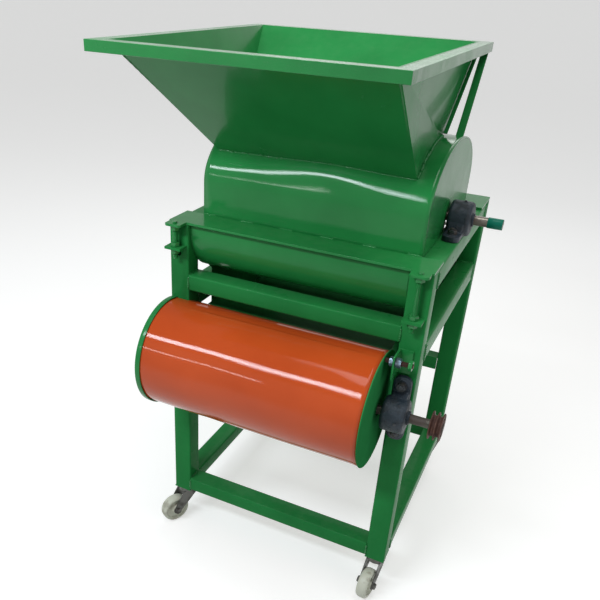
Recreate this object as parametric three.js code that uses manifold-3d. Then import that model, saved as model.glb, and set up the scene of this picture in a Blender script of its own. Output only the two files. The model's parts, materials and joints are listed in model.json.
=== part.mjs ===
// Peanut sheller: a bar rotor turns over a round concave screen inside a sheet casing. Nuts are fed from a
// sloped hopper on the hinged lid, and a drum blower in front blows the shells out at the rear.
// Millimetres, +Z up. X runs along both shafts, the blower is at the front (-Y), the bearings' drive side is +X.
// Inside the machine group X is zero at the middle of the frame, Y at the front of its legs and Z at the floor.
import * as THREE from 'three';
import { mergeVertices } from 'three/addons/utils/BufferGeometryUtils.js';
import Module from 'manifold-3d';

const wasm = await Module();
wasm.setup();

// General
const FIT = 0.3;
const OVERRUN = 400;
const WELD_TOLERANCE = 1e-4;
const ROUND_SIDES = 20;
const WHEEL_SIDES = 24;
const DRUM_SIDES = 40;

// Frame of square tubes
const FRAME_WIDTH = 625;
const FRAME_DEPTH = 640;
const FRAME_TOP = 902;
const TUBE = 50;
const TUBE_WALL = 3;
const TUBE_CORNER = 5;
const FOOT_PLATE = 4;
const BOTTOM_RAIL_HEIGHT = 40;
const FRONT_TOP_RAIL_SETBACK = 60;
const FRONT_RAIL_DROP = 124;
const FRONT_RAIL_HEIGHT = 40;
const SIDE_RAIL_DROP = 172;
const MOTOR_RAIL_TOP = 410;
const MOTOR_RAIL_LEG = 40;
const MOTOR_RAIL_WALL = 4;
const MOTOR_SLOT_LENGTH = 46;
const MOTOR_SLOT_WIDTH = 12;
const MOTOR_SLOT_PITCH = 120;
const MOTOR_SLOT_COUNT = 4;
const DRAIN_HOLE_RADIUS = 6;
const DRAIN_HOLE_RISE = 14;
const DRAIN_HOLE_DROP = 73;

// Casters
const CASTER_HEIGHT = 110;
const WHEEL_RADIUS = 40;
const WHEEL_WIDTH = 28;
const WHEEL_ROUNDING = 6;
const WHEEL_HUB_RADIUS = 15;
const WHEEL_HUB_PROUD = 2;
const WHEEL_DISH = 4;
const CASTER_TRAIL = 42;
const KINGPIN_RADIUS = 6;
const KINGPIN_HEAD = 7;
const RACEWAY_RADIUS = 24;
const RACEWAY_HEIGHT = 11;
const FORK_SHEET = 3;
const FORK_CROWN_HALF = 20;
const FORK_EYE_RADIUS = 11;
const AXLE_RADIUS = 5;
const AXLE_HEAD_RADIUS = 9;
const AXLE_HEAD_HEIGHT = 6;
const CASTER_HEADING_DEGREES = { front_left: 240, front_right: 262, rear_left: 255, rear_right: 247 };

// Shafts and their pillow blocks
const SHAFT_RADIUS = 12.5;
const BEARING_HEIGHT = 36.5;
const BEARING_BASE_LENGTH = 164;
const BEARING_BASE_WIDTH = 44;
const BEARING_BASE_THICKNESS = 14;
const BEARING_BASE_ROUNDING = 14;
const BEARING_HOUSING_RADIUS = 36.2;
const BEARING_HOUSING_WIDTH = 44;
const BEARING_NECK_WIDTH = 34;
const BEARING_NECK_HALF_LENGTH = 48;
const BEARING_INSERT_RADIUS = 26;
const BEARING_INSERT_PROUD = 2;
const BEARING_COLLAR_RADIUS = 17.5;
const BEARING_COLLAR_REACH = 31;
const BEARING_BOLT_SPACING = 122;
const BEARING_BOLT_RADIUS = 11;
const BEARING_BOLT_HEIGHT = 8;
const BEARING_PAD_RADIUS = 16;
const BEARING_PAD_HEIGHT = 2;

// Rotor and concave screen
const ROTOR_FORWARD = 20;
const ROTOR_COVER_GAP = 75;
const ROTOR_END_GAP = 17.5;
const ROTOR_BAR_COUNT = 4;
const ROTOR_BAR_WIDTH = 48;
const ROTOR_BAR_THICKNESS = 12;
const ROTOR_BEATER_RADIUS = 9;
const ROTOR_SPIDER_THICKNESS = 8;
const ROTOR_ARM_WIDTH = 36;
const ROTOR_HUB_RADIUS = 26;
const ROTOR_HUB_LENGTH = 34;
const SCREEN_CLEARANCE = 20;
const SCREEN_BAR = 8;
const SCREEN_BAR_PITCH_DEGREES = 7;
const SCREEN_BAR_COUNT = 22;
const SCREEN_HOOP_DEPTH = 10;
const SCREEN_HOOP_WIDTH = 6;
const SCREEN_HOOP_COUNT = 3;
const SCREEN_HOOP_SINK = 2;
const SCREEN_HOOP_STEPS = 21;
const SCREEN_MIDDLE_DEGREES = 90;
const ROTOR_SHAFT_STUB_LEFT = 17.5;
const ROTOR_SHAFT_STUB_RIGHT = 79.5;
const ROTOR_BEARING_OUTBOARD = 5;
const SLEEVE_LENGTH = 34;
const SLEEVE_WALL = 1.5;

// Lower casing
const PLATE = 3;
const APRON_RADIUS = 105;
const APRON_FRONT = 12;
const APRON_CENTRE_DROP = 22;
const APRON_SWEEP_DEGREES = 75;
const APRON_TOP_DROP = 3;
const CASING_THROAT_SETBACK = 112;
const CASING_THROAT_DROP = 142;
const CHUTE_DUCT_GAP = 120;
const CHUTE_HIGH_DROP = 188;
const CHUTE_HIGH_INSET = 80;
const CHUTE_LIP = 18;
const SPOUT_DROP = 34;
const SPOUT_WALL_HEIGHT = 60;

// Blower
const FAN_RAIL_GAP = 20;
const FAN_SHELL_RADIUS = 134;
const FAN_SHELL_SHEET = 2;
const FAN_SHELL_LEFT_INSET = 9.5;
const FAN_SHELL_LEG_GAP = 18.5;
const FAN_LEG_CLEARANCE = 1;
const FAN_RIM_WIDTH = 18;
const FAN_RIM_SHEET = 2.5;
const FAN_RIM_LIP = 9;
const FAN_END_PROUD = 2;
const FAN_SPIGOT_DEPTH = 12;
const FAN_SHAFT_CLEARANCE = 2.5;
const FAN_INLET_RADIUS = 75;
const FAN_DUCT_RISE = 20;
const FAN_DUCT_HEIGHT = 86;
const FAN_DUCT_INSET = 8;
const FAN_DUCT_INNER_END = 135;
const IMPELLER_RADIUS = 118;
const IMPELLER_END_GAP = 18;
const IMPELLER_BLADE_COUNT = 4;
const IMPELLER_BLADE_SHEET = 3;
const IMPELLER_BLADE_DEPTH = 82;
const IMPELLER_ARM_WIDTH = 26;
const IMPELLER_SPIDER_INSET = 36;
const IMPELLER_HUB_RADIUS = 24;
const IMPELLER_HUB_LENGTH = 26;
const FAN_SHAFT_STUB_LEFT = 9.5;
const FAN_SHAFT_STUB_RIGHT = 81.5;
const PULLEY_RADIUS = 36;
const PULLEY_WIDTH = 26;
const PULLEY_GROOVE_DEPTH = 8.5;
const PULLEY_GROOVE_TOP = 9.5;
const PULLEY_GROOVE_BOTTOM = 5;
const PULLEY_GROOVE_PITCH = 12;
const PULLEY_WEB_RECESS = 5;
const PULLEY_RIM_INNER_RADIUS = 23;
const PULLEY_HUB_RADIUS = 18;
const PULLEY_INSET = 2;
const DRUM_BOLT_RADIUS = 6;
const DRUM_BOLT_HEAD_RADIUS = 11;
const DRUM_BOLT_HEAD_HEIGHT = 8;
const DRUM_BOLT_TAIL = 25.5;
const DRUM_BOLT_INSET = 7;
const BRACKET_SHEET = 4;
const BRACKET_REACH = 50;
const BRACKET_BELOW_BOLT = 40;
const BRACKET_ABOVE_BOLT = 17;
const BRACKET_FOOT = 32;

// Lid with the drum cover
const COVER_LEG_OVERLAP = 3.5;
const COVER_DEPTH_INSET = 100;
const COVER_WALL_HEIGHT = 82.7;
const COVER_RISE = 130;
const COVER_SHEET = 3;
const COVER_ARC_STEPS = 28;
const FLANGE_THICKNESS = 6;
const SHAFT_SLOT_RADIUS = 19;
const EAR_DEPTH = 30;
const EAR_WIDTH = 42;
const STUD_RADIUS = 6;
const STUD_HOLE_CLEARANCE = 1.5;
const STUD_PROUD = 4;
const STUD_TAIL = 24;
const STUD_NUT_RADIUS = 11;
const STUD_NUT_HEIGHT = 10;
const LUG_THICKNESS = 6;
const LUG_DROPS = { left: 56, right: 102 };
const HINGE_INSET = 132.5;
const HINGE_LEAF = 3;
const HINGE_LEAF_DEPTH = 44;
const HINGE_BASE_LEAF_LOW = 856;
const HINGE_KNUCKLE_RADIUS = 7;
const HINGE_OUTER_KNUCKLE = 22;
const HINGE_MIDDLE_KNUCKLE = 26;
const HINGE_KNUCKLE_GAP = 1;
const HINGE_PIN_RADIUS = 3.5;
const HINGE_LEAF_OVERLAP = 1;

// Hopper
const HOPPER_RISE = 180;
const HOPPER_LEFT_OVERHANG = 47.5;
const HOPPER_RIGHT_INSET = 90.5;
const HOPPER_FRONT_OVERHANG = 134;
const HOPPER_REAR_INSET = 83;
const HOPPER_SHEET = 3;
const THROAT_LEFT_INSET = 61.5;
const THROAT_FORWARD = 183;
const THROAT_FRONT_DROP = 58;
const RIM_FLANGE = 30;
const RIM_LIP = 22;
const RIM_SHEET = 3;
const STRUT_WIDTH = 22;
const STRUT_THICKNESS = 4;
const STRUT_FOOT_BEHIND = 47;
const STRUT_FOOT_INSET = 12.5;
const STRUT_HEAD_INSET = 12;

// Places worked out from the sizes above
const HALF_WIDTH = FRAME_WIDTH / 2;
const LEG_INNER = HALF_WIDTH - TUBE;
const LEG_CENTRE = HALF_WIDTH - TUBE / 2;
const LEG_BOTTOM = CASTER_HEIGHT + FOOT_PLATE;
const BOTTOM_RAIL_TOP = LEG_BOTTOM + BOTTOM_RAIL_HEIGHT;
const FRONT_RAIL_TOP = FRAME_TOP - FRONT_RAIL_DROP;
const SIDE_RAIL_TOP = FRAME_TOP - SIDE_RAIL_DROP;
const APRON_CENTRE_HEIGHT = FRAME_TOP - APRON_CENTRE_DROP;
const APRON_TOP = FRAME_TOP - APRON_TOP_DROP;
const CASING_THROAT_TOP = FRAME_TOP - CASING_THROAT_DROP;
const ROTOR_HEIGHT = FRAME_TOP + FIT + BEARING_HEIGHT;
const ROTOR_SETBACK = FRAME_DEPTH / 2 - ROTOR_FORWARD;
const ROTOR_HALF_LENGTH = LEG_INNER - ROTOR_END_GAP;
const ROTOR_SHAFT_REACH_LEFT = HALF_WIDTH + ROTOR_SHAFT_STUB_LEFT;
const ROTOR_SHAFT_REACH_RIGHT = HALF_WIDTH + ROTOR_SHAFT_STUB_RIGHT;
const FAN_SETBACK = -(FIT + BEARING_HEIGHT);
const FAN_HEIGHT = FRONT_RAIL_TOP - FRONT_RAIL_HEIGHT - FAN_RAIL_GAP - FAN_SHELL_RADIUS;
const FAN_DUCT_LOW = FAN_HEIGHT + FAN_DUCT_RISE;
const FAN_DUCT_HIGH = FAN_DUCT_LOW + FAN_DUCT_HEIGHT;
const DRUM_BOLT_RADIAL = FAN_SHELL_RADIUS - DRUM_BOLT_INSET;
const BRACKET_LOW = FAN_HEIGHT + DRUM_BOLT_RADIAL - BRACKET_BELOW_BOLT;
const BRACKET_HIGH = FAN_HEIGHT + DRUM_BOLT_RADIAL + BRACKET_ABOVE_BOLT;
const FAN_SHELL_LEFT = HALF_WIDTH - FAN_SHELL_LEFT_INSET;
const FAN_SHELL_RIGHT = LEG_INNER - FAN_SHELL_LEG_GAP;
const FAN_DUCT_HALF_LENGTH = FAN_SHELL_RIGHT - FAN_DUCT_INSET;
const IMPELLER_HALF_LENGTH = FAN_SHELL_RIGHT - IMPELLER_END_GAP;
const IMPELLER_SPIDER_SPACING = IMPELLER_HALF_LENGTH - IMPELLER_SPIDER_INSET;
const FAN_SHAFT_REACH_LEFT = HALF_WIDTH + FAN_SHAFT_STUB_LEFT;
const FAN_SHAFT_REACH_RIGHT = HALF_WIDTH + FAN_SHAFT_STUB_RIGHT;
const PULLEY_START = FAN_SHAFT_REACH_RIGHT - PULLEY_INSET - PULLEY_WIDTH;
const DRUM_BOLT_REACH = LEG_INNER + DRUM_BOLT_TAIL;
const CHUTE_HIGH_SETBACK = FRAME_DEPTH - CHUTE_HIGH_INSET;
const CHUTE_HIGH_HEIGHT = FRAME_TOP - CHUTE_HIGH_DROP;
const CHUTE_LOW_HEIGHT = FAN_DUCT_LOW - CHUTE_DUCT_GAP;
const PLATE_OUTER = LEG_INNER - FIT;
const PLATE_INNER = PLATE_OUTER - PLATE;
const CASING_INNER = PLATE_INNER - FIT;
const LID_BOTTOM = FRAME_TOP + FIT;
const FLANGE_TOP = LID_BOTTOM + FLANGE_THICKNESS;
const COVER_HALF_LENGTH = LEG_INNER + COVER_LEG_OVERLAP;
const COVER_HALF_DEPTH = FRAME_DEPTH / 2 - COVER_DEPTH_INSET;
const COVER_WALL_TOP = LID_BOTTOM + COVER_WALL_HEIGHT;
const COVER_TOP = COVER_WALL_TOP + COVER_RISE;
const ROTOR_RADIUS = COVER_HALF_DEPTH - ROTOR_COVER_GAP;
const SCREEN_RADIUS = ROTOR_RADIUS + SCREEN_CLEARANCE;
const HINGE_SPREAD = HALF_WIDTH - HINGE_INSET;
const HINGE_AXIS_HEIGHT = LID_BOTTOM + FLANGE_THICKNESS / 2;
const HINGE_AXIS_SETBACK = FRAME_DEPTH + FIT + HINGE_LEAF + HINGE_KNUCKLE_RADIUS - HINGE_LEAF_OVERLAP;
const SHAFT_BORE = SHAFT_RADIUS + FIT;
const HOPPER_TOP = COVER_TOP + HOPPER_RISE;
const HOPPER_LEFT = -(HALF_WIDTH + HOPPER_LEFT_OVERHANG);
const HOPPER_RIGHT = HALF_WIDTH - HOPPER_RIGHT_INSET;
const HOPPER_FRONT = -HOPPER_FRONT_OVERHANG;
const HOPPER_REAR = FRAME_DEPTH - HOPPER_REAR_INSET;
const THROAT_LEFT = -(HALF_WIDTH - THROAT_LEFT_INSET);
const THROAT_FRONT = ROTOR_SETBACK - THROAT_FORWARD;
const THROAT_REAR = ROTOR_SETBACK;
const THROAT_FRONT_HEIGHT = COVER_TOP - THROAT_FRONT_DROP;
const THROAT_REAR_HEIGHT = COVER_TOP;
const STRUT_FOOT_SETBACK = ROTOR_SETBACK + STRUT_FOOT_BEHIND;

// Solids from three.js geometry, joined and cut as closed bodies

function toSolid(geometry) {
  const source = geometry.index ? geometry.toNonIndexed() : geometry;
  const bare = new THREE.BufferGeometry();
  bare.setAttribute('position', source.getAttribute('position'));
  const merged = mergeVertices(bare, WELD_TOLERANCE);
  const vertProperties = merged.getAttribute('position').array;
  const triVerts = new Uint32Array(merged.index.array);
  return new wasm.Manifold(new wasm.Mesh({ numProp: 3, vertProperties, triVerts }));
}

function toGeometry(solid) {
  const mesh = solid.getMesh();
  const geometry = new THREE.BufferGeometry();
  geometry.setAttribute('position', new THREE.BufferAttribute(mesh.vertProperties, mesh.numProp));
  geometry.setIndex(new THREE.BufferAttribute(mesh.triVerts, 1));
  const faceted = geometry.toNonIndexed();
  faceted.computeVertexNormals();
  return faceted;
}

function join(first, ...others) {
  return others.reduce((body, other) => body.add(other), first);
}

function cut(body, ...tools) {
  return tools.reduce((rest, tool) => rest.subtract(tool), body);
}

function box([x0, x1], [y0, y1], [z0, z1]) {
  const geometry = new THREE.BoxGeometry(x1 - x0, y1 - y0, z1 - z0);
  geometry.translate((x0 + x1) / 2, (y0 + y1) / 2, (z0 + z1) / 2);
  return toSolid(geometry);
}

// The two outline directions and the sweep direction of a prism along each axis
const X = new THREE.Vector3(1, 0, 0);
const Y = new THREE.Vector3(0, 1, 0);
const Z = new THREE.Vector3(0, 0, 1);
const SWEEPS = {
  x: { u: Y, v: Z, w: X, sign: 1 },
  y: { u: X, v: Z, w: Y.clone().negate(), sign: -1 },
  z: { u: X, v: Y, w: Z, sign: 1 },
};

// A prism of an outline drawn in (y, z), (x, z) or (x, y), swept along the axis from start to end
function prism(axis, outline, [start, end], curveSegments = ROUND_SIDES / 2) {
  const { u, v, w, sign } = SWEEPS[axis];
  const geometry = new THREE.ExtrudeGeometry(outline, { depth: end - start, bevelEnabled: false, curveSegments });
  const placed = new THREE.Matrix4().makeBasis(u, v, w);
  placed.setPosition(w.clone().multiplyScalar(sign > 0 ? start : -end));
  return toSolid(geometry.applyMatrix4(placed));
}

function polygon(points) {
  return new THREE.Shape(points.map(([a, b]) => new THREE.Vector2(a, b)));
}

function discOutline([a, b], radius, sides = ROUND_SIDES, turn = 0) {
  const corners = [];
  for (let i = 0; i < sides; i += 1) {
    const angle = turn + (2 * Math.PI * i) / sides;
    corners.push([a + radius * Math.cos(angle), b + radius * Math.sin(angle)]);
  }
  return polygon(corners);
}

function rod(axis, centre, radius, span, sides = ROUND_SIDES) {
  return prism(axis, discOutline(centre, radius, sides), span);
}

function ring(axis, centre, outer, inner, span, sides = ROUND_SIDES) {
  const outline = discOutline(centre, outer, sides);
  outline.holes.push(discOutline(centre, inner, sides));
  return prism(axis, outline, span);
}

function hexagon(axis, centre, radius, span) {
  return prism(axis, discOutline(centre, radius, 6), span);
}

function rectangle([a0, a1], [b0, b1]) {
  return polygon([[a0, b0], [a1, b0], [a1, b1], [a0, b1]]);
}

function roundedRectangle([a0, a1], [b0, b1], radius) {
  const outline = new THREE.Shape();
  outline.absarc(a1 - radius, b0 + radius, radius, -Math.PI / 2, 0);
  outline.absarc(a1 - radius, b1 - radius, radius, 0, Math.PI / 2);
  outline.absarc(a0 + radius, b1 - radius, radius, Math.PI / 2, Math.PI);
  outline.absarc(a0 + radius, b0 + radius, radius, Math.PI, (3 * Math.PI) / 2);
  return outline;
}

// A hollow rectangular tube, open at both ends
function tube(axis, a, b, span) {
  const outline = roundedRectangle(a, b, TUBE_CORNER);
  const inside = (span1) => [span1[0] + TUBE_WALL, span1[1] - TUBE_WALL];
  outline.holes.push(rectangle(inside(a), inside(b)));
  return prism(axis, outline, span, 2);
}

function revolve(profile, sides) {
  const points = profile.map(([radius, along]) => new THREE.Vector2(radius, along));
  points.push(points[0].clone());
  return toSolid(new THREE.LatheGeometry(points, sides));
}

// A profile of (radius, place along X), turned about the X axis through the origin
function turnedAlongX(profile, sides) {
  const upright = toGeometry(revolve(profile, sides));
  return toSolid(upright.rotateZ(-Math.PI / 2));
}

function mirrored(side, [inner, outer]) {
  return side > 0 ? [inner, outer] : [-outer, -inner];
}

// A solid between a lower and an upper rectangle, each given as x span, y span and height
function loft(lower, upper) {
  const corners = [];
  for (const { x, y, z } of [lower, upper]) {
    corners.push([x[0], y[0], z], [x[1], y[0], z], [x[1], y[1], z], [x[0], y[1], z]);
  }
  const faces = [
    [0, 3, 2, 1],
    [4, 5, 6, 7],
    [0, 1, 5, 4],
    [1, 2, 6, 5],
    [2, 3, 7, 6],
    [3, 0, 4, 7],
  ];
  const positions = faces.flatMap(([a, b, c, d]) => [a, b, c, a, c, d].flatMap((corner) => corners[corner]));
  const geometry = new THREE.BufferGeometry();
  geometry.setAttribute('position', new THREE.Float32BufferAttribute(positions, 3));
  return toSolid(geometry);
}

// Looks

const LOOKS = {
  green: { color: 0x1f7a3d, roughness: 0.35, metalness: 0.05 },
  orange: { color: 0xd9581f, roughness: 0.25, metalness: 0.05 },
  casting: { color: 0x27303a, roughness: 0.55, metalness: 0.4 },
  teal: { color: 0x0f8f78, roughness: 0.5, metalness: 0 },
  nylon: { color: 0xdcdcc8, roughness: 0.45, metalness: 0 },
  rust: { color: 0x4a2c26, roughness: 0.8, metalness: 0.4 },
  steel: { color: 0x7d7974, roughness: 0.4, metalness: 0.9 },
  zinc: { color: 0xb8bcc0, roughness: 0.3, metalness: 0.9 },
};

function addPiece(parent, name, solid, look) {
  const mesh = new THREE.Mesh(toGeometry(solid), new THREE.MeshStandardMaterial(LOOKS[look]));
  mesh.name = name;
  parent.add(mesh);
  return mesh;
}

// Frame

const SIDES = { left: -1, right: 1 };
const CORNERS = {
  front_left: { side: -1, rear: false },
  front_right: { side: 1, rear: false },
  rear_left: { side: -1, rear: true },
  rear_right: { side: 1, rear: true },
};

function legSpanY(rear) {
  return rear ? [FRAME_DEPTH - TUBE, FRAME_DEPTH] : [0, TUBE];
}

function drainHole() {
  const low = FRAME_TOP - DRAIN_HOLE_DROP;
  const reach = [-TUBE_WALL, 2 * TUBE_WALL];
  const round = rod('y', [-LEG_CENTRE, low], DRAIN_HOLE_RADIUS, reach, ROUND_SIDES / 2);
  const tip = polygon([
    [-LEG_CENTRE - DRAIN_HOLE_RADIUS, low],
    [-LEG_CENTRE + DRAIN_HOLE_RADIUS, low],
    [-LEG_CENTRE, low + DRAIN_HOLE_RISE],
  ]);
  return join(round, prism('y', tip, reach));
}

// A flat lug on the front of a front leg that holds the lid's adjusting stud
function studLug(side) {
  const height = FRAME_TOP - (side > 0 ? LUG_DROPS.right : LUG_DROPS.left);
  const span = [side * LEG_CENTRE - EAR_WIDTH / 2, side * LEG_CENTRE + EAR_WIDTH / 2];
  const plate = box(span, [-EAR_DEPTH, TUBE_WALL / 2], [height, height + LUG_THICKNESS]);
  return cut(plate, rod('z', [side * LEG_CENTRE, -EAR_DEPTH / 2], STUD_RADIUS + FIT, [0, FRAME_TOP]));
}

function leg({ side, rear }) {
  const x = mirrored(side, [LEG_INNER, HALF_WIDTH]);
  const y = legSpanY(rear);
  const centre = [side * LEG_CENTRE, (y[0] + y[1]) / 2];
  const shell = tube('z', x, y, [LEG_BOTTOM - FOOT_PLATE / 2, FRAME_TOP - TUBE_WALL / 2]);
  const cap = prism('z', roundedRectangle(x, y, TUBE_CORNER), [FRAME_TOP - TUBE_WALL, FRAME_TOP], 2);
  const foot = box(x, y, [CASTER_HEIGHT, LEG_BOTTOM]);
  const body = cut(join(shell, cap, foot), rod('z', centre, KINGPIN_RADIUS + FIT, [0, LEG_BOTTOM + FOOT_PLATE]));
  if (rear) {
    return body;
  }
  const withLug = join(body, studLug(side));
  return side < 0 ? cut(withLug, drainHole()) : withLug;
}

function slots(plane) {
  const cuts = [];
  for (let i = 0; i < MOTOR_SLOT_COUNT; i += 1) {
    const middle = (i - (MOTOR_SLOT_COUNT - 1) / 2) * MOTOR_SLOT_PITCH;
    const a = [middle - MOTOR_SLOT_LENGTH / 2, middle + MOTOR_SLOT_LENGTH / 2];
    const b = [plane - MOTOR_SLOT_WIDTH / 2, plane + MOTOR_SLOT_WIDTH / 2];
    const outline = roundedRectangle(a, b, MOTOR_SLOT_WIDTH / 2);
    cuts.push(prism('y', outline, [FRAME_DEPTH - TUBE - MOTOR_RAIL_WALL, FRAME_DEPTH - TUBE + OVERRUN], 2));
  }
  return cuts;
}

// An angle rail between the rear legs, one flange level and one upright at the front with slots for a motor
function motorRail() {
  const front = FRAME_DEPTH - TUBE;
  const low = MOTOR_RAIL_TOP - MOTOR_RAIL_LEG;
  const outline = polygon([
    [front, low],
    [front + MOTOR_RAIL_WALL, low],
    [front + MOTOR_RAIL_WALL, MOTOR_RAIL_TOP - MOTOR_RAIL_WALL],
    [front + MOTOR_RAIL_LEG, MOTOR_RAIL_TOP - MOTOR_RAIL_WALL],
    [front + MOTOR_RAIL_LEG, MOTOR_RAIL_TOP],
    [front, MOTOR_RAIL_TOP],
  ]);
  const angle = prism('x', outline, [-PLATE_OUTER, PLATE_OUTER]);
  return cut(angle, ...slots(MOTOR_RAIL_TOP - MOTOR_RAIL_LEG / 2));
}

function rearBottomRail() {
  const span = [FRAME_DEPTH - TUBE, FRAME_DEPTH];
  const rail = tube('x', span, [LEG_BOTTOM, BOTTOM_RAIL_TOP], [-PLATE_OUTER, PLATE_OUTER]);
  return cut(rail, ...slots(BOTTOM_RAIL_TOP - BOTTOM_RAIL_HEIGHT / 2));
}

function buildFrame(machine) {
  for (const [corner, place] of Object.entries(CORNERS)) {
    addPiece(machine, `leg_${corner}`, leg(place), 'green');
  }
  const between = [-PLATE_OUTER, PLATE_OUTER];
  const front = [0, TUBE];
  const rear = [FRAME_DEPTH - TUBE, FRAME_DEPTH];
  const top = [FRAME_TOP - TUBE, FRAME_TOP];
  const bottom = [LEG_BOTTOM, BOTTOM_RAIL_TOP];
  const setback = [FRONT_TOP_RAIL_SETBACK, FRONT_TOP_RAIL_SETBACK + TUBE];
  const middle = [FRONT_RAIL_TOP - FRONT_RAIL_HEIGHT, FRONT_RAIL_TOP];
  const innerBetween = [-CASING_INNER, CASING_INNER];
  addPiece(machine, 'rail_top_front', tube('x', setback, top, innerBetween), 'green');
  addPiece(machine, 'rail_top_rear', tube('x', rear, top, between), 'green');
  addPiece(machine, 'rail_bottom_front', tube('x', front, bottom, between), 'green');
  addPiece(machine, 'rail_bottom_rear', rearBottomRail(), 'green');
  addPiece(machine, 'rail_middle_front', tube('x', front, middle, between), 'green');
  addPiece(machine, 'rail_motor', motorRail(), 'green');
  const along = [TUBE + FIT, FRAME_DEPTH - TUBE - FIT];
  for (const [name, side] of Object.entries(SIDES)) {
    const x = mirrored(side, [LEG_INNER, HALF_WIDTH]);
    addPiece(machine, `rail_top_${name}`, tube('y', x, top, along), 'green');
    addPiece(machine, `rail_middle_${name}`, tube('y', x, [SIDE_RAIL_TOP - TUBE, SIDE_RAIL_TOP], along), 'green');
    addPiece(machine, `rail_bottom_${name}`, tube('y', x, bottom, along), 'green');
  }
}

// Casters: the fork turns about its kingpin in the foot plate, the wheel turns on the fork's axle

function forkCheek(side) {
  const inner = WHEEL_WIDTH / 2 + WHEEL_HUB_PROUD + FIT;
  const crown = CASTER_HEIGHT - FIT - RACEWAY_HEIGHT;
  const outline = new THREE.Shape();
  outline.absarc(CASTER_TRAIL, WHEEL_RADIUS, FORK_EYE_RADIUS, Math.PI + Math.PI / 4, 2 * Math.PI + Math.PI / 4);
  outline.lineTo(FORK_CROWN_HALF, crown);
  outline.lineTo(-FORK_CROWN_HALF, crown);
  outline.lineTo(-FORK_CROWN_HALF, crown - FORK_EYE_RADIUS);
  return prism('y', outline, mirrored(side, [inner, inner + FORK_SHEET]), ROUND_SIDES / 4);
}

function casterFork() {
  const outer = WHEEL_WIDTH / 2 + WHEEL_HUB_PROUD + FIT + FORK_SHEET;
  const crown = CASTER_HEIGHT - FIT - RACEWAY_HEIGHT;
  const head = outer + AXLE_HEAD_HEIGHT;
  const axle = [CASTER_TRAIL, WHEEL_RADIUS];
  const kingpinTop = LEG_BOTTOM + FIT + KINGPIN_HEAD;
  return join(
    forkCheek(-1),
    forkCheek(1),
    box([-FORK_CROWN_HALF, FORK_CROWN_HALF], [-outer, outer], [crown - FORK_SHEET, crown]),
    rod('z', [0, 0], RACEWAY_RADIUS, [crown - FORK_SHEET, CASTER_HEIGHT - FIT]),
    rod('z', [0, 0], KINGPIN_RADIUS, [crown, kingpinTop], ROUND_SIDES / 2),
    rod('y', axle, AXLE_RADIUS, [-head, head], ROUND_SIDES / 2),
    hexagon('y', axle, AXLE_HEAD_RADIUS, [outer - FORK_SHEET / 2, head]),
    hexagon('y', axle, AXLE_HEAD_RADIUS, [-head, -outer + FORK_SHEET / 2]),
  );
}

function casterWheel() {
  const half = WHEEL_WIDTH / 2;
  const hub = half + WHEEL_HUB_PROUD;
  const bore = AXLE_RADIUS + FIT;
  const tread = WHEEL_RADIUS - WHEEL_ROUNDING;
  const profile = [
    [bore, -hub],
    [WHEEL_HUB_RADIUS, -hub],
    [WHEEL_HUB_RADIUS, -half + WHEEL_DISH],
    [tread - WHEEL_ROUNDING, -half + WHEEL_DISH],
    [tread - WHEEL_ROUNDING, -half],
    [tread, -half],
    [WHEEL_RADIUS, -half + WHEEL_ROUNDING],
    [WHEEL_RADIUS, half - WHEEL_ROUNDING],
    [tread, half],
    [tread - WHEEL_ROUNDING, half],
    [tread - WHEEL_ROUNDING, half - WHEEL_DISH],
    [WHEEL_HUB_RADIUS, half - WHEEL_DISH],
    [WHEEL_HUB_RADIUS, hub],
    [bore, hub],
  ];
  return revolve(profile, WHEEL_SIDES);
}

function buildCasters(machine) {
  const fork = casterFork();
  const wheel = casterWheel();
  for (const [corner, { side, rear }] of Object.entries(CORNERS)) {
    const [y0, y1] = legSpanY(rear);
    const caster = new THREE.Group();
    caster.position.set(side * LEG_CENTRE, (y0 + y1) / 2, 0);
    caster.rotation.z = THREE.MathUtils.degToRad(CASTER_HEADING_DEGREES[corner]);
    machine.add(caster);
    addPiece(caster, `caster_fork_${corner}`, fork, 'zinc');
    addPiece(caster, `caster_wheel_${corner}`, wheel, 'nylon').position.set(CASTER_TRAIL, 0, WHEEL_RADIUS);
  }
}

// Pillow block with its base at z = 0 and its shaft along X, the locking collar on the +X side

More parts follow.
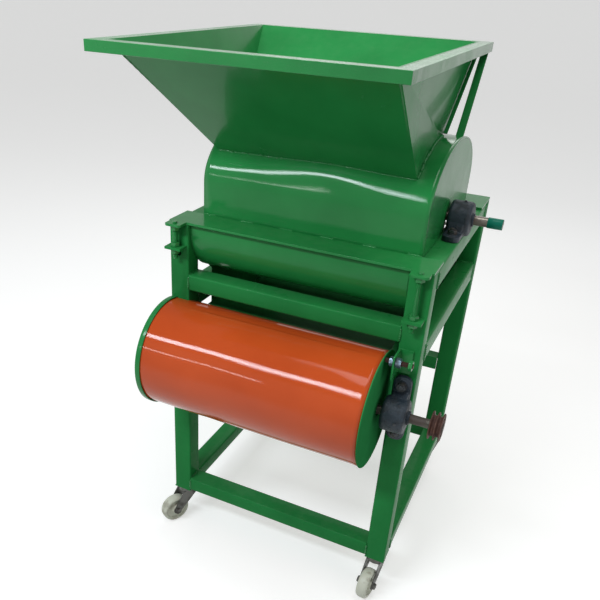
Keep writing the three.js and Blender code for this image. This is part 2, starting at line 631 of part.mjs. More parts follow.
function pillowBlock() {
  const shaft = [0, BEARING_HEIGHT];
  const neck = polygon([
    [-BEARING_NECK_HALF_LENGTH, 0],
    [BEARING_NECK_HALF_LENGTH, 0],
    [BEARING_HOUSING_RADIUS, BEARING_HEIGHT],
    [-BEARING_HOUSING_RADIUS, BEARING_HEIGHT],
  ]);
  const halfWidth = BEARING_BASE_WIDTH / 2;
  const halfLength = BEARING_BASE_LENGTH / 2;
  const baseOutline = roundedRectangle([-halfWidth, halfWidth], [-halfLength, halfLength], BEARING_BASE_ROUNDING);
  const insert = BEARING_HOUSING_WIDTH / 2 + BEARING_INSERT_PROUD;
  const pieces = [
    prism('x', neck, [-BEARING_NECK_WIDTH / 2, BEARING_NECK_WIDTH / 2]),
    rod('x', shaft, BEARING_HOUSING_RADIUS, [-BEARING_HOUSING_WIDTH / 2, BEARING_HOUSING_WIDTH / 2], WHEEL_SIDES),
    rod('x', shaft, BEARING_INSERT_RADIUS, [-insert, insert]),
    rod('x', shaft, BEARING_COLLAR_RADIUS, [-insert, BEARING_COLLAR_REACH]),
  ];
  const padTop = BEARING_BASE_THICKNESS + BEARING_PAD_HEIGHT;
  for (const end of [-1, 1]) {
    const centre = [0, (end * BEARING_BOLT_SPACING) / 2];
    pieces.push(rod('z', centre, BEARING_PAD_RADIUS, [BEARING_BASE_THICKNESS / 2, padTop], ROUND_SIDES / 2));
    pieces.push(hexagon('z', centre, BEARING_BOLT_RADIUS, [padTop - BEARING_PAD_HEIGHT, padTop + BEARING_BOLT_HEIGHT]));
  }
  const base = prism('z', baseOutline, [0, BEARING_BASE_THICKNESS], ROUND_SIDES / 6);
  return cut(join(base, ...pieces), rod('x', shaft, SHAFT_BORE, [-OVERRUN, OVERRUN]));
}

function buildBearings(machine) {
  const block = pillowBlock();
  for (const [name, side] of Object.entries(SIDES)) {
    const turn = side > 0 ? 0 : Math.PI;
    const rotor = addPiece(machine, `rotor_bearing_${name}`, block, 'casting');
    rotor.position.set(side * (LEG_CENTRE + ROTOR_BEARING_OUTBOARD), ROTOR_SETBACK, FRAME_TOP + FIT);
    rotor.rotation.z = turn;
    const seat = new THREE.Group();
    seat.position.set(side * LEG_CENTRE, -FIT, FAN_HEIGHT);
    seat.rotation.x = Math.PI / 2;
    machine.add(seat);
    addPiece(seat, `fan_bearing_${name}`, block, 'casting').rotation.z = turn;
  }
}

// Rotor

function barRotor() {
  const centre = [ROTOR_SETBACK, ROTOR_HEIGHT];
  const beaterCentre = ROTOR_RADIUS - ROTOR_BEATER_RADIUS;
  const barTop = beaterCentre + ROTOR_BEATER_RADIUS / 2;
  const span = [-ROTOR_HALF_LENGTH, ROTOR_HALF_LENGTH];
  const placed = new THREE.Matrix4().makeTranslation(0, ROTOR_SETBACK, ROTOR_HEIGHT);
  const pieces = [];
  for (let i = 0; i < ROTOR_BAR_COUNT; i += 1) {
    const angle = (2 * Math.PI * (i + 1 / 2)) / ROTOR_BAR_COUNT;
    const turned = placed.clone().multiply(new THREE.Matrix4().makeRotationX(angle));
    const bar = join(
      box(span, [-ROTOR_BAR_WIDTH / 2, ROTOR_BAR_WIDTH / 2], [barTop - ROTOR_BAR_THICKNESS, barTop]),
      rod('x', [0, beaterCentre], ROTOR_BEATER_RADIUS, span, ROUND_SIDES / 2),
    );
    pieces.push(toSolid(toGeometry(bar).applyMatrix4(turned)));
    for (const step of [-1, 0, 1]) {
      const middle = step * (ROTOR_HALF_LENGTH - ROTOR_SPIDER_THICKNESS / 2);
      const arm = box(
        [middle - ROTOR_SPIDER_THICKNESS / 2, middle + ROTOR_SPIDER_THICKNESS / 2],
        [-ROTOR_ARM_WIDTH / 2, ROTOR_ARM_WIDTH / 2],
        [0, barTop - ROTOR_BAR_THICKNESS / 2],
      );
      pieces.push(toSolid(toGeometry(arm).applyMatrix4(turned)));
    }
  }
  for (const step of [-1, 0, 1]) {
    const middle = step * (ROTOR_HALF_LENGTH - ROTOR_HUB_LENGTH / 2);
    const hub = [middle - ROTOR_HUB_LENGTH / 2, middle + ROTOR_HUB_LENGTH / 2];
    pieces.push(rod('x', centre, ROTOR_HUB_RADIUS, hub));
  }
  return cut(join(...pieces), rod('x', centre, SHAFT_BORE, [-OVERRUN, OVERRUN]));
}

function buildRotor(machine) {
  const centre = [ROTOR_SETBACK, ROTOR_HEIGHT];
  const shaft = rod('x', centre, SHAFT_RADIUS, [-ROTOR_SHAFT_REACH_LEFT, ROTOR_SHAFT_REACH_RIGHT - FIT]);
  addPiece(machine, 'rotor_shaft', shaft, 'steel');
  addPiece(machine, 'rotor_bars', barRotor(), 'green');
  const start = ROTOR_SHAFT_REACH_RIGHT - SLEEVE_LENGTH;
  const sleeve = ring('x', centre, SHAFT_BORE + SLEEVE_WALL, SHAFT_BORE, [start, ROTOR_SHAFT_REACH_RIGHT]);
  addPiece(machine, 'rotor_shaft_sleeve', sleeve, 'teal');
}

// Concave screen: bars along X, curved round the rotor, on hoops

function screenPoint(radius, degreesBelow) {
  const angle = THREE.MathUtils.degToRad(degreesBelow);
  return [ROTOR_SETBACK - radius * Math.cos(angle), ROTOR_HEIGHT - radius * Math.sin(angle)];
}

function arcBand(innerRadius, outerRadius, startDegrees, endDegrees, steps) {
  const outline = [];
  for (let i = 0; i <= steps; i += 1) {
    outline.push(screenPoint(outerRadius, startDegrees + ((endDegrees - startDegrees) * i) / steps));
  }
  for (let i = steps; i >= 0; i -= 1) {
    outline.push(screenPoint(innerRadius, startDegrees + ((endDegrees - startDegrees) * i) / steps));
  }
  return polygon(outline);
}

function concaveScreen() {
  const sweep = (SCREEN_BAR_COUNT - 1) * SCREEN_BAR_PITCH_DEGREES;
  const start = SCREEN_MIDDLE_DEGREES - sweep / 2;
  const hoopInner = SCREEN_RADIUS + SCREEN_BAR - SCREEN_HOOP_SINK;
  const hoopOuter = hoopInner + SCREEN_HOOP_DEPTH;
  const hoopOutline = arcBand(hoopInner, hoopOuter, start, start + sweep, SCREEN_HOOP_STEPS);
  const pieces = [];
  const hoopReach = CASING_INNER - SCREEN_HOOP_WIDTH / 2;
  for (let i = 0; i < SCREEN_HOOP_COUNT; i += 1) {
    const middle = hoopReach * ((2 * i) / (SCREEN_HOOP_COUNT - 1) - 1);
    pieces.push(prism('x', hoopOutline, [middle - SCREEN_HOOP_WIDTH / 2, middle + SCREEN_HOOP_WIDTH / 2]));
  }
  const barHalf = THREE.MathUtils.radToDeg(SCREEN_BAR / 2 / SCREEN_RADIUS);
  for (let i = 0; i < SCREEN_BAR_COUNT; i += 1) {
    const middle = start + i * SCREEN_BAR_PITCH_DEGREES;
    const outline = arcBand(SCREEN_RADIUS, SCREEN_RADIUS + SCREEN_BAR, middle - barHalf, middle + barHalf, 1);
    pieces.push(prism('x', outline, [-CASING_INNER, CASING_INNER]));
  }
  return join(...pieces);
}

// Lower casing

function apronPoint(radius, degrees) {
  const angle = THREE.MathUtils.degToRad(degrees);
  const centre = APRON_FRONT + APRON_RADIUS;
  return [centre - radius * Math.cos(angle), APRON_CENTRE_HEIGHT - radius * Math.sin(angle)];
}

function apronArc(radius) {
  const steps = ROUND_SIDES / 2;
  const points = [];
  for (let i = 0; i <= steps; i += 1) {
    points.push(apronPoint(radius, (APRON_SWEEP_DEGREES * i) / steps));
  }
  return points;
}

// The curved front sheet between the front legs, bent back at the top onto the front top rail
function apron() {
  const innerArc = apronArc(APRON_RADIUS - PLATE).reverse();
  const inner = APRON_FRONT + PLATE;
  const back = FRONT_TOP_RAIL_SETBACK - FIT;
  const outline = [
    [back, APRON_TOP],
    [APRON_FRONT, APRON_TOP],
    ...apronArc(APRON_RADIUS),
    ...innerArc,
    [inner, APRON_TOP - PLATE],
    [back, APRON_TOP - PLATE],
  ];
  return prism('x', polygon(outline), [-CASING_INNER, CASING_INNER]);
}

function casingPlate(side) {
  const outline = [
    [APRON_FRONT, FRAME_TOP],
    ...apronArc(APRON_RADIUS),
    [CASING_THROAT_SETBACK, CASING_THROAT_TOP],
    [CASING_THROAT_SETBACK, CHUTE_LOW_HEIGHT],
    [CHUTE_HIGH_SETBACK, CHUTE_HIGH_HEIGHT],
    [FRAME_DEPTH - TUBE - FIT, CHUTE_HIGH_HEIGHT],
    [FRAME_DEPTH - TUBE - FIT, FRAME_TOP],
  ];
  return prism('x', polygon(outline), mirrored(side, [PLATE_INNER, PLATE_OUTER]));
}

// The sloped floor that brings the kernels to the front, with a lip along each side
function kernelChute() {
  const start = [CASING_THROAT_SETBACK, CHUTE_LOW_HEIGHT];
  const end = [CHUTE_HIGH_SETBACK, CHUTE_HIGH_HEIGHT];
  const strip = (rise) => polygon([start, end, [end[0], end[1] + rise], [start[0], start[1] + rise]]);
  return join(
    prism('x', strip(PLATE), [-CASING_INNER, CASING_INNER]),
    prism('x', strip(CHUTE_LIP), [-CASING_INNER, -CASING_INNER + PLATE]),
    prism('x', strip(CHUTE_LIP), [CASING_INNER - PLATE, CASING_INNER]),
  );
}

// The trough at the rear through which the shells leave
function hullSpout() {
  const start = CHUTE_HIGH_SETBACK + FIT;
  const end = FRAME_DEPTH;
  const high = CHUTE_HIGH_HEIGHT;
  const low = CHUTE_HIGH_HEIGHT - SPOUT_DROP;
  const floor = polygon([[start, high], [end, low], [end, low + PLATE], [start, high + PLATE]]);
  const wall = polygon([[start, high], [end, low], [end, low + SPOUT_WALL_HEIGHT], [start, high + SPOUT_WALL_HEIGHT]]);
  return join(
    prism('x', floor, [-CASING_INNER, CASING_INNER]),
    prism('x', wall, [-CASING_INNER, -CASING_INNER + PLATE]),
    prism('x', wall, [CASING_INNER - PLATE, CASING_INNER]),
  );
}

function buildCasing(machine) {
  for (const [name, side] of Object.entries(SIDES)) {
    addPiece(machine, `casing_side_${name}`, casingPlate(side), 'green');
  }
  addPiece(machine, 'casing_apron', apron(), 'green');
  addPiece(machine, 'concave_screen', concaveScreen(), 'steel');
  addPiece(machine, 'kernel_chute', kernelChute(), 'green');
  addPiece(machine, 'hull_spout', hullSpout(), 'green');
}

// Blower

const FAN_CENTRE = [FAN_SETBACK, FAN_HEIGHT];
const FAN_BEHIND = [-FAN_LEG_CLEARANCE, OVERRUN];
const FAN_FULL_HEIGHT = [FAN_HEIGHT - OVERRUN, FAN_HEIGHT + OVERRUN];
const LEG_NOTCH = [-OVERRUN, -PLATE_OUTER];

function fanShroud() {
  const inner = FAN_SHELL_RADIUS - FAN_SHELL_SHEET;
  const shell = ring('x', FAN_CENTRE, FAN_SHELL_RADIUS, inner, [-FAN_SHELL_LEFT, FAN_SHELL_RIGHT], DRUM_SIDES);
  const window = box(
    [-FAN_DUCT_HALF_LENGTH + PLATE, FAN_DUCT_HALF_LENGTH - PLATE],
    [0, OVERRUN],
    [FAN_DUCT_LOW + PLATE, FAN_DUCT_HIGH - PLATE],
  );
  return cut(shell, window, box(LEG_NOTCH, FAN_BEHIND, FAN_FULL_HEIGHT));
}

function fanRim() {
  const inner = FAN_SHELL_RADIUS + FIT;
  const outer = inner + FAN_RIM_SHEET;
  const end = -FAN_SHELL_LEFT - FIT;
  const band = ring('x', FAN_CENTRE, outer, inner, [end, -FAN_SHELL_LEFT + FAN_RIM_WIDTH], DRUM_SIDES);
  const lip = ring('x', FAN_CENTRE, outer, outer - FAN_RIM_LIP, [end - FAN_RIM_SHEET, end], DRUM_SIDES);
  return cut(join(band, lip), box(LEG_NOTCH, FAN_BEHIND, FAN_FULL_HEIGHT));
}

function fanInletPlate() {
  const outer = FAN_SHELL_RADIUS - FAN_SHELL_SHEET - FIT;
  return ring('x', FAN_CENTRE, outer, FAN_INLET_RADIUS, [-PLATE_OUTER + FIT, -PLATE_OUTER + FIT + PLATE], DRUM_SIDES);
}

function fanEndPlate() {
  const bore = SHAFT_RADIUS + FAN_SHAFT_CLEARANCE;
  const start = FAN_SHELL_RIGHT + FIT;
  const spigot = FAN_SHELL_RADIUS - FAN_SHELL_SHEET - FIT;
  return join(
    ring('x', FAN_CENTRE, FAN_SHELL_RADIUS + FAN_END_PROUD, bore, [start, start + PLATE], DRUM_SIDES),
    ring('x', FAN_CENTRE, spigot, spigot - PLATE, [start - FAN_SPIGOT_DEPTH, start + PLATE / 2], DRUM_SIDES),
  );
}

// The air duct from the back of the drum into the casing
function fanDuct() {
  const x = [-FAN_DUCT_HALF_LENGTH, FAN_DUCT_HALF_LENGTH];
  const z = [FAN_DUCT_LOW, FAN_DUCT_HIGH];
  const outline = rectangle(x, z);
  outline.holes.push(rectangle([x[0] + PLATE, x[1] - PLATE], [z[0] + PLATE, z[1] - PLATE]));
  const duct = prism('y', outline, [0, FAN_DUCT_INNER_END]);
  return cut(duct, rod('x', FAN_CENTRE, FAN_SHELL_RADIUS + FIT, [-OVERRUN, OVERRUN], DRUM_SIDES));
}

function impeller() {
  const span = [-IMPELLER_HALF_LENGTH, IMPELLER_HALF_LENGTH];
  const placed = new THREE.Matrix4().makeTranslation(0, FAN_SETBACK, FAN_HEIGHT);
  const pieces = [];
  for (let i = 0; i < IMPELLER_BLADE_COUNT; i += 1) {
    const angle = (2 * Math.PI * (i + 1 / 2)) / IMPELLER_BLADE_COUNT;
    const turned = placed.clone().multiply(new THREE.Matrix4().makeRotationX(angle));
    const blade = box(
      span,
      [-IMPELLER_BLADE_SHEET / 2, IMPELLER_BLADE_SHEET / 2],
      [IMPELLER_RADIUS - IMPELLER_BLADE_DEPTH, IMPELLER_RADIUS],
    );
    pieces.push(toSolid(toGeometry(blade).applyMatrix4(turned)));
    for (const step of [-1, 0, 1]) {
      const middle = step * IMPELLER_SPIDER_SPACING;
      const arm = box(
        [middle - IMPELLER_ARM_WIDTH / 2, middle + IMPELLER_ARM_WIDTH / 2],
        [-IMPELLER_BLADE_SHEET, IMPELLER_BLADE_SHEET],
        [0, IMPELLER_RADIUS - IMPELLER_BLADE_DEPTH / 2],
      );
      pieces.push(toSolid(toGeometry(arm).applyMatrix4(turned)));
    }
  }
  for (const step of [-1, 0, 1]) {
    const middle = step * IMPELLER_SPIDER_SPACING;
    const hub = [middle - IMPELLER_HUB_LENGTH / 2, middle + IMPELLER_HUB_LENGTH / 2];
    pieces.push(rod('x', FAN_CENTRE, IMPELLER_HUB_RADIUS, hub));
  }
  return cut(join(...pieces), rod('x', FAN_CENTRE, SHAFT_BORE, [-OVERRUN, OVERRUN]));
}

// Two-groove pulley, turned about X from x = 0
function pulley() {
  const floor = PULLEY_RADIUS - PULLEY_GROOVE_DEPTH;
  const half = PULLEY_WIDTH / 2;
  const grooves = [-1, 1].flatMap((step) => {
    const middle = half + (step * PULLEY_GROOVE_PITCH) / 2;
    return [
      [PULLEY_RADIUS, middle - PULLEY_GROOVE_TOP / 2],
      [floor, middle - PULLEY_GROOVE_BOTTOM / 2],
      [floor, middle + PULLEY_GROOVE_BOTTOM / 2],
      [PULLEY_RADIUS, middle + PULLEY_GROOVE_TOP / 2],
    ];
  });
  const profile = [
    [SHAFT_BORE, 0],
    [PULLEY_HUB_RADIUS, 0],
    [PULLEY_HUB_RADIUS, PULLEY_WEB_RECESS],
    [PULLEY_RIM_INNER_RADIUS, PULLEY_WEB_RECESS],
    [PULLEY_RIM_INNER_RADIUS, 0],
    [PULLEY_RADIUS, 0],
    ...grooves,
    [PULLEY_RADIUS, PULLEY_WIDTH],
    [PULLEY_RIM_INNER_RADIUS, PULLEY_WIDTH],
    [PULLEY_RIM_INNER_RADIUS, PULLEY_WIDTH - PULLEY_WEB_RECESS],
    [PULLEY_HUB_RADIUS, PULLEY_WIDTH - PULLEY_WEB_RECESS],
    [PULLEY_HUB_RADIUS, PULLEY_WIDTH],
    [SHAFT_BORE, PULLEY_WIDTH],
  ];
  return turnedAlongX(profile, WHEEL_SIDES);
}

const DRUM_BOLT_CENTRE = [FAN_SETBACK, FAN_HEIGHT + DRUM_BOLT_RADIAL];
const BRACKET_START = LEG_INNER + BRACKET_SHEET;

// The bolt that clamps the drum's end plate to the bracket on the front right leg
function drumBolt() {
  const start = FAN_SHELL_RIGHT + 2 * FIT + PLATE;
  const nut = BRACKET_START + BRACKET_SHEET + FIT;
  return join(
    hexagon('x', DRUM_BOLT_CENTRE, DRUM_BOLT_HEAD_RADIUS, [start, start + DRUM_BOLT_HEAD_HEIGHT]),
    rod('x', DRUM_BOLT_CENTRE, DRUM_BOLT_RADIUS, [start, DRUM_BOLT_REACH], ROUND_SIDES / 2),
    hexagon('x', DRUM_BOLT_CENTRE, DRUM_BOLT_HEAD_RADIUS, [nut, nut + DRUM_BOLT_HEAD_HEIGHT]),
  );
}

function drumBracket() {
  const plate = [BRACKET_START, BRACKET_START + BRACKET_SHEET];
  const height = [BRACKET_LOW, BRACKET_HIGH];
  const body = join(
    box(plate, [-BRACKET_REACH, -FIT], height),
    box([plate[0], plate[0] + BRACKET_FOOT], [-FIT - BRACKET_SHEET, -FIT], height),
  );
  return cut(body, rod('x', DRUM_BOLT_CENTRE, DRUM_BOLT_RADIUS + FIT, [0, OVERRUN], ROUND_SIDES / 2));
}

function buildBlower(machine) {
  addPiece(machine, 'fan_shroud', fanShroud(), 'orange');
  addPiece(machine, 'fan_rim', fanRim(), 'green');
  addPiece(machine, 'fan_inlet_plate', fanInletPlate(), 'green');
  addPiece(machine, 'fan_end_plate', fanEndPlate(), 'green');
  addPiece(machine, 'fan_duct', fanDuct(), 'green');
  const shaft = rod('x', FAN_CENTRE, SHAFT_RADIUS, [-FAN_SHAFT_REACH_LEFT, FAN_SHAFT_REACH_RIGHT]);
  addPiece(machine, 'fan_shaft', shaft, 'rust');
  addPiece(machine, 'fan_impeller', impeller(), 'steel');
  addPiece(machine, 'fan_pulley', pulley(), 'rust').position.set(PULLEY_START, FAN_SETBACK, FAN_HEIGHT);
  addPiece(machine, 'drum_bolt', drumBolt(), 'zinc');
  addPiece(machine, 'drum_bracket', drumBracket(), 'green');
}

// Lid: straight walls with a half-elliptic roof over the rotor, on flanges that rest on the frame

function archArc(inset) {
  const points = [];
  for (let i = 0; i <= COVER_ARC_STEPS; i += 1) {
    const angle = (Math.PI * i) / COVER_ARC_STEPS;
    const y = ROTOR_SETBACK - (COVER_HALF_DEPTH - inset) * Math.cos(angle);
    points.push([y, COVER_WALL_TOP + (COVER_RISE - inset) * Math.sin(angle)]);
  }
  return points;
}

// The space under the roof, its outline moved inwards by the inset
function archSolid(inset, span, low = LID_BOTTOM) {
  const outline = [
    [ROTOR_SETBACK + COVER_HALF_DEPTH - inset, low],
    [ROTOR_SETBACK - COVER_HALF_DEPTH + inset, low],
    ...archArc(inset),
  ];
  return prism('x', polygon(outline), span);
}

function hopperSolid(inset) {
  const frontSlope = (THROAT_FRONT - HOPPER_FRONT) / (HOPPER_TOP - THROAT_FRONT_HEIGHT);
  const rearSlope = (HOPPER_REAR - THROAT_REAR) / (HOPPER_TOP - THROAT_REAR_HEIGHT);
  const leftSlope = (THROAT_LEFT - HOPPER_LEFT) / (HOPPER_TOP - THROAT_FRONT_HEIGHT);
  const low = COVER_TOP - COVER_RISE / 2;
  const drop = HOPPER_TOP - low;
  const upper = {
    x: [HOPPER_LEFT + inset, HOPPER_RIGHT - inset],
    y: [HOPPER_FRONT + inset, HOPPER_REAR - inset],
    z: HOPPER_TOP,
  };
  const lower = {
    x: [upper.x[0] + leftSlope * drop, upper.x[1]],
    y: [upper.y[0] + frontSlope * drop, upper.y[1] - rearSlope * drop],
    z: low,
  };
  return loft(lower, upper);
}

function studHole(side) {
  const radius = STUD_RADIUS + STUD_HOLE_CLEARANCE;
  return rod('z', [side * LEG_CENTRE, -EAR_DEPTH / 2], radius, [0, HOPPER_TOP]);
}

function lidEar(side) {
  const x = [side * LEG_CENTRE - EAR_WIDTH / 2, side * LEG_CENTRE + EAR_WIDTH / 2];
  return box(x, [-EAR_DEPTH, EAR_DEPTH], [LID_BOTTOM, FLANGE_TOP]);
}

function coverShell() {
  const whole = [-COVER_HALF_LENGTH, COVER_HALF_LENGTH];
  const wide = [-HALF_WIDTH, HALF_WIDTH];
  const frontWall = ROTOR_SETBACK - COVER_HALF_DEPTH + COVER_SHEET;
  const rearWall = ROTOR_SETBACK + COVER_HALF_DEPTH - COVER_SHEET;
  const shell = cut(archSolid(0, whole), archSolid(COVER_SHEET, [-OVERRUN, OVERRUN], 0));
  const body = join(
    shell,
    box(wide, [0, frontWall], [LID_BOTTOM, FLANGE_TOP]),
    box(wide, [rearWall, FRAME_DEPTH], [LID_BOTTOM, FLANGE_TOP]),
    lidEar(-1),
    lidEar(1),
  );
  return cut(body, hopperSolid(HOPPER_SHEET), studHole(-1), studHole(1));
}

// An end plate inside the end of the roof, with a slot open at the bottom for the rotor shaft
function coverEnd(side) {
  const inset = COVER_SHEET + FIT;
  const plate = archSolid(inset, mirrored(side, [COVER_HALF_LENGTH - COVER_SHEET, COVER_HALF_LENGTH]));
  const slotSpan = [ROTOR_SETBACK - SHAFT_SLOT_RADIUS, ROTOR_SETBACK + SHAFT_SLOT_RADIUS];
  const slot = prism('x', rectangle(slotSpan, [0, ROTOR_HEIGHT]), [-OVERRUN, OVERRUN]);
  const eye = rod('x', [ROTOR_SETBACK, ROTOR_HEIGHT], SHAFT_SLOT_RADIUS, [-OVERRUN, OVERRUN]);
  return cut(plate, slot, eye);
}

function hopperFunnel() {
  const cover = archSolid(-FIT, [-COVER_HALF_LENGTH - FIT, OVERRUN], 0);
  return cut(hopperSolid(0), hopperSolid(HOPPER_SHEET), cover);
}

// A flat bar from the rear corner of the rim down to the roof, as a box turned to lie between two points
function rimStrut(side) {
  const corner = side > 0 ? HOPPER_RIGHT + RIM_FLANGE : HOPPER_LEFT - RIM_FLANGE;
  const head = new THREE.Vector3(
    corner - side * STRUT_HEAD_INSET,
    HOPPER_REAR + RIM_FLANGE - STRUT_HEAD_INSET,
    HOPPER_TOP - RIM_SHEET / 2,
  );
  const foot = new THREE.Vector3(side * (COVER_HALF_LENGTH - STRUT_FOOT_INSET), STRUT_FOOT_SETBACK, COVER_TOP);
  const along = foot.clone().sub(head);
  const length = along.length() + STRUT_WIDTH;
  const down = along.normalize();
  const across = new THREE.Vector3().crossVectors(down, X).normalize();
  const sideways = new THREE.Vector3().crossVectors(across, down);
  const placed = new THREE.Matrix4().makeBasis(sideways, across, down).setPosition(head);
  const half = [STRUT_WIDTH / 2, STRUT_THICKNESS / 2];
  const bar = toGeometry(box([-half[0], half[0]], [-half[1], half[1]], [0, length]));
  return toSolid(bar.applyMatrix4(placed));
}

function hopperRim() {
  const inner = { x: [HOPPER_LEFT - FIT, HOPPER_RIGHT + FIT], y: [HOPPER_FRONT - FIT, HOPPER_REAR + FIT] };
  const grown = (span, by) => [span[0] - by, span[1] + by];
  const outer = { x: grown(inner.x, RIM_FLANGE), y: grown(inner.y, RIM_FLANGE) };
  const flange = rectangle(outer.x, outer.y);
  flange.holes.push(rectangle(inner.x, inner.y));
  const lip = rectangle(outer.x, outer.y);
  lip.holes.push(rectangle(grown(outer.x, -RIM_SHEET), grown(outer.y, -RIM_SHEET)));
  const body = join(
    prism('z', flange, [HOPPER_TOP - RIM_SHEET, HOPPER_TOP]),
    prism('z', lip, [HOPPER_TOP - RIM_LIP, HOPPER_TOP - RIM_SHEET / 2]),
    rimStrut(-1),
    rimStrut(1),
  );
  const above = box([-OVERRUN * 2, OVERRUN * 2], [-OVERRUN, OVERRUN * 2], [HOPPER_TOP, HOPPER_TOP + OVERRUN]);
  return cut(body, above, archSolid(-FIT, [-OVERRUN, OVERRUN], 0));
}

// Hinges at the rear of the frame

function hingeKnuckles() {
  const half = HINGE_MIDDLE_KNUCKLE / 2;
  return {
    middle: [-half, half],
    outer: [half + HINGE_KNUCKLE_GAP, half + HINGE_KNUCKLE_GAP + HINGE_OUTER_KNUCKLE],
  };
}

function knuckle(centreX, [start, end], radius) {
  return rod('x', [HINGE_AXIS_SETBACK, HINGE_AXIS_HEIGHT], radius, [centreX + start, centreX + end]);
}

function hingeBase(centreX) {
  const { outer } = hingeKnuckles();
  const leafY = [FRAME_DEPTH + FIT, FRAME_DEPTH + FIT + HINGE_LEAF];
  const leafTop = HINGE_AXIS_HEIGHT - HINGE_KNUCKLE_RADIUS - HINGE_KNUCKLE_GAP;
  const pieces = [box([centreX - outer[1], centreX + outer[1]], leafY, [HINGE_BASE_LEAF_LOW, leafTop])];
  for (const side of [-1, 1]) {
    const span = mirrored(side, outer);
    const web = [centreX + span[0], centreX + span[1]];
    pieces.push(box(web, leafY, [leafTop - HINGE_LEAF, HINGE_AXIS_HEIGHT]));
    pieces.push(knuckle(centreX, span, HINGE_KNUCKLE_RADIUS));
  }
  pieces.push(knuckle(centreX, [-outer[1], outer[1]], HINGE_PIN_RADIUS));
  return join(...pieces);
}

function hingeLeaf(centreX) {
  const { middle, outer } = hingeKnuckles();
  const low = FLANGE_TOP + FIT;
  const plate = [FRAME_DEPTH - HINGE_LEAF_DEPTH, FRAME_DEPTH];
  const body = join(
    box([centreX - outer[1], centreX + outer[1]], plate, [low, low + HINGE_LEAF]),
    box([centreX + middle[0], centreX + middle[1]], [FRAME_DEPTH - HINGE_LEAF, HINGE_AXIS_SETBACK],
      [low, low + HINGE_LEAF]),
    knuckle(centreX, middle, low + HINGE_LEAF - HINGE_AXIS_HEIGHT),
  );
  return cut(body, knuckle(centreX, [-OVERRUN, OVERRUN], HINGE_PIN_RADIUS + FIT));
}

// The stud with its nuts, standing in the leg's lug, that carries and adjusts the front of the lid
function adjustingStud(side) {
  const height = FRAME_TOP - (side > 0 ? LUG_DROPS.right : LUG_DROPS.left);
  const centre = [side * LEG_CENTRE, -EAR_DEPTH / 2];
  const nut = (low) => hexagon('z', centre, STUD_NUT_RADIUS, [low, low + STUD_NUT_HEIGHT]);
  return join(
    rod('z', centre, STUD_RADIUS, [height - STUD_TAIL, FLANGE_TOP + STUD_PROUD], ROUND_SIDES / 2),
    nut(height - FIT - STUD_NUT_HEIGHT),
    nut(height + LUG_THICKNESS + FIT),
    nut(LID_BOTTOM - FIT - STUD_NUT_HEIGHT),
  );
}

function buildLid(machine) {
  addPiece(machine, 'cover_shell', coverShell(), 'green');
  addPiece(machine, 'hopper_funnel', hopperFunnel(), 'green');
  addPiece(machine, 'hopper_rim', hopperRim(), 'green');
  for (const [name, side] of Object.entries(SIDES)) {
    addPiece(machine, `cover_end_${name}`, coverEnd(side), 'green');
    addPiece(machine, `hinge_base_${name}`, hingeBase(side * HINGE_SPREAD), 'green');
    addPiece(machine, `hinge_leaf_${name}`, hingeLeaf(side * HINGE_SPREAD), 'green');
    addPiece(machine, `lid_stud_${name}`, adjustingStud(side), 'zinc');
  }
}

// The whole machine, moved so that the origin lies under the middle of its outline, on the floor

function buildSheller() {
  const machine = new THREE.Group();
  buildFrame(machine);
  buildCasters(machine);
  buildCasing(machine);
  buildBearings(machine);
  buildRotor(machine);
  buildBlower(machine);
  buildLid(machine);
  machine.updateMatrixWorld(true);
  const bounds = new THREE.Box3().setFromObject(machine, true);
  machine.position.set(
    -(bounds.min.x + bounds.max.x) / 2,
    -(bounds.min.y + bounds.max.y) / 2,
    -bounds.min.z,
  );
  const sheller = new THREE.Group();
  sheller.add(machine);
  return sheller;
}

export default buildSheller();
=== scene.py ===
"""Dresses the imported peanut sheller: enamelled tubes and sheets, castings, casters and hardware."""

from __future__ import annotations

import json
import logging
import math
from dataclasses import dataclass, replace
from enum import Enum

import bmesh
import bpy
import numpy as np
from mathutils import Matrix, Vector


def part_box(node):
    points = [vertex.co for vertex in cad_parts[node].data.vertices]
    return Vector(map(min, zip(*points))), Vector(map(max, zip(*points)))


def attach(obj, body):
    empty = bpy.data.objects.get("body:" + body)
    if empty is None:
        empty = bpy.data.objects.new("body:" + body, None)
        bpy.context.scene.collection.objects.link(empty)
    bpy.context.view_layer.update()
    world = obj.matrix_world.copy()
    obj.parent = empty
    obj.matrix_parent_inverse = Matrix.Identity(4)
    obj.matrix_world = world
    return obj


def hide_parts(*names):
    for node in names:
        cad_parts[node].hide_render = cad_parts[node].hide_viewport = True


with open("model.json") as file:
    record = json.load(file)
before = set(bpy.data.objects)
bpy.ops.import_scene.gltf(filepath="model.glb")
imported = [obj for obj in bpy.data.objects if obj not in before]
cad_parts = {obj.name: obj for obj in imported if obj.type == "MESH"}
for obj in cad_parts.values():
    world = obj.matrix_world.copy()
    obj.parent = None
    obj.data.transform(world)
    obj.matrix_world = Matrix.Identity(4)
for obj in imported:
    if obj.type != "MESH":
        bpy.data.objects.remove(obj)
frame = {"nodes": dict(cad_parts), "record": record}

LOG = logging.getLogger("peanut_sheller")
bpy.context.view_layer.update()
IMAGE_SIDE = 600
MM = 0.001
FULL_TURN = 2 * np.pi
AXIS_RADIUS = 0.01  # where a turned profile ends at its axis

Pair = tuple[float, float]
Triple = tuple[float, float, float]
Array = np.ndarray
Node = bpy.types.Node
Tree = bpy.types.NodeTree
Socket = bpy.types.NodeSocket


# Where things are


@dataclass(frozen=True)
class Datum:
    """The machine's own origin in the frame: middle of its width, front of its legs, floor."""

    x: float
    y: float
    z: float

    def place(self, points: Array) -> Array:
        """Turns machine millimetres, on the last axis, into metres in the frame."""
        return np.asarray(points, float) * MM + np.array([self.x, self.y, self.z])


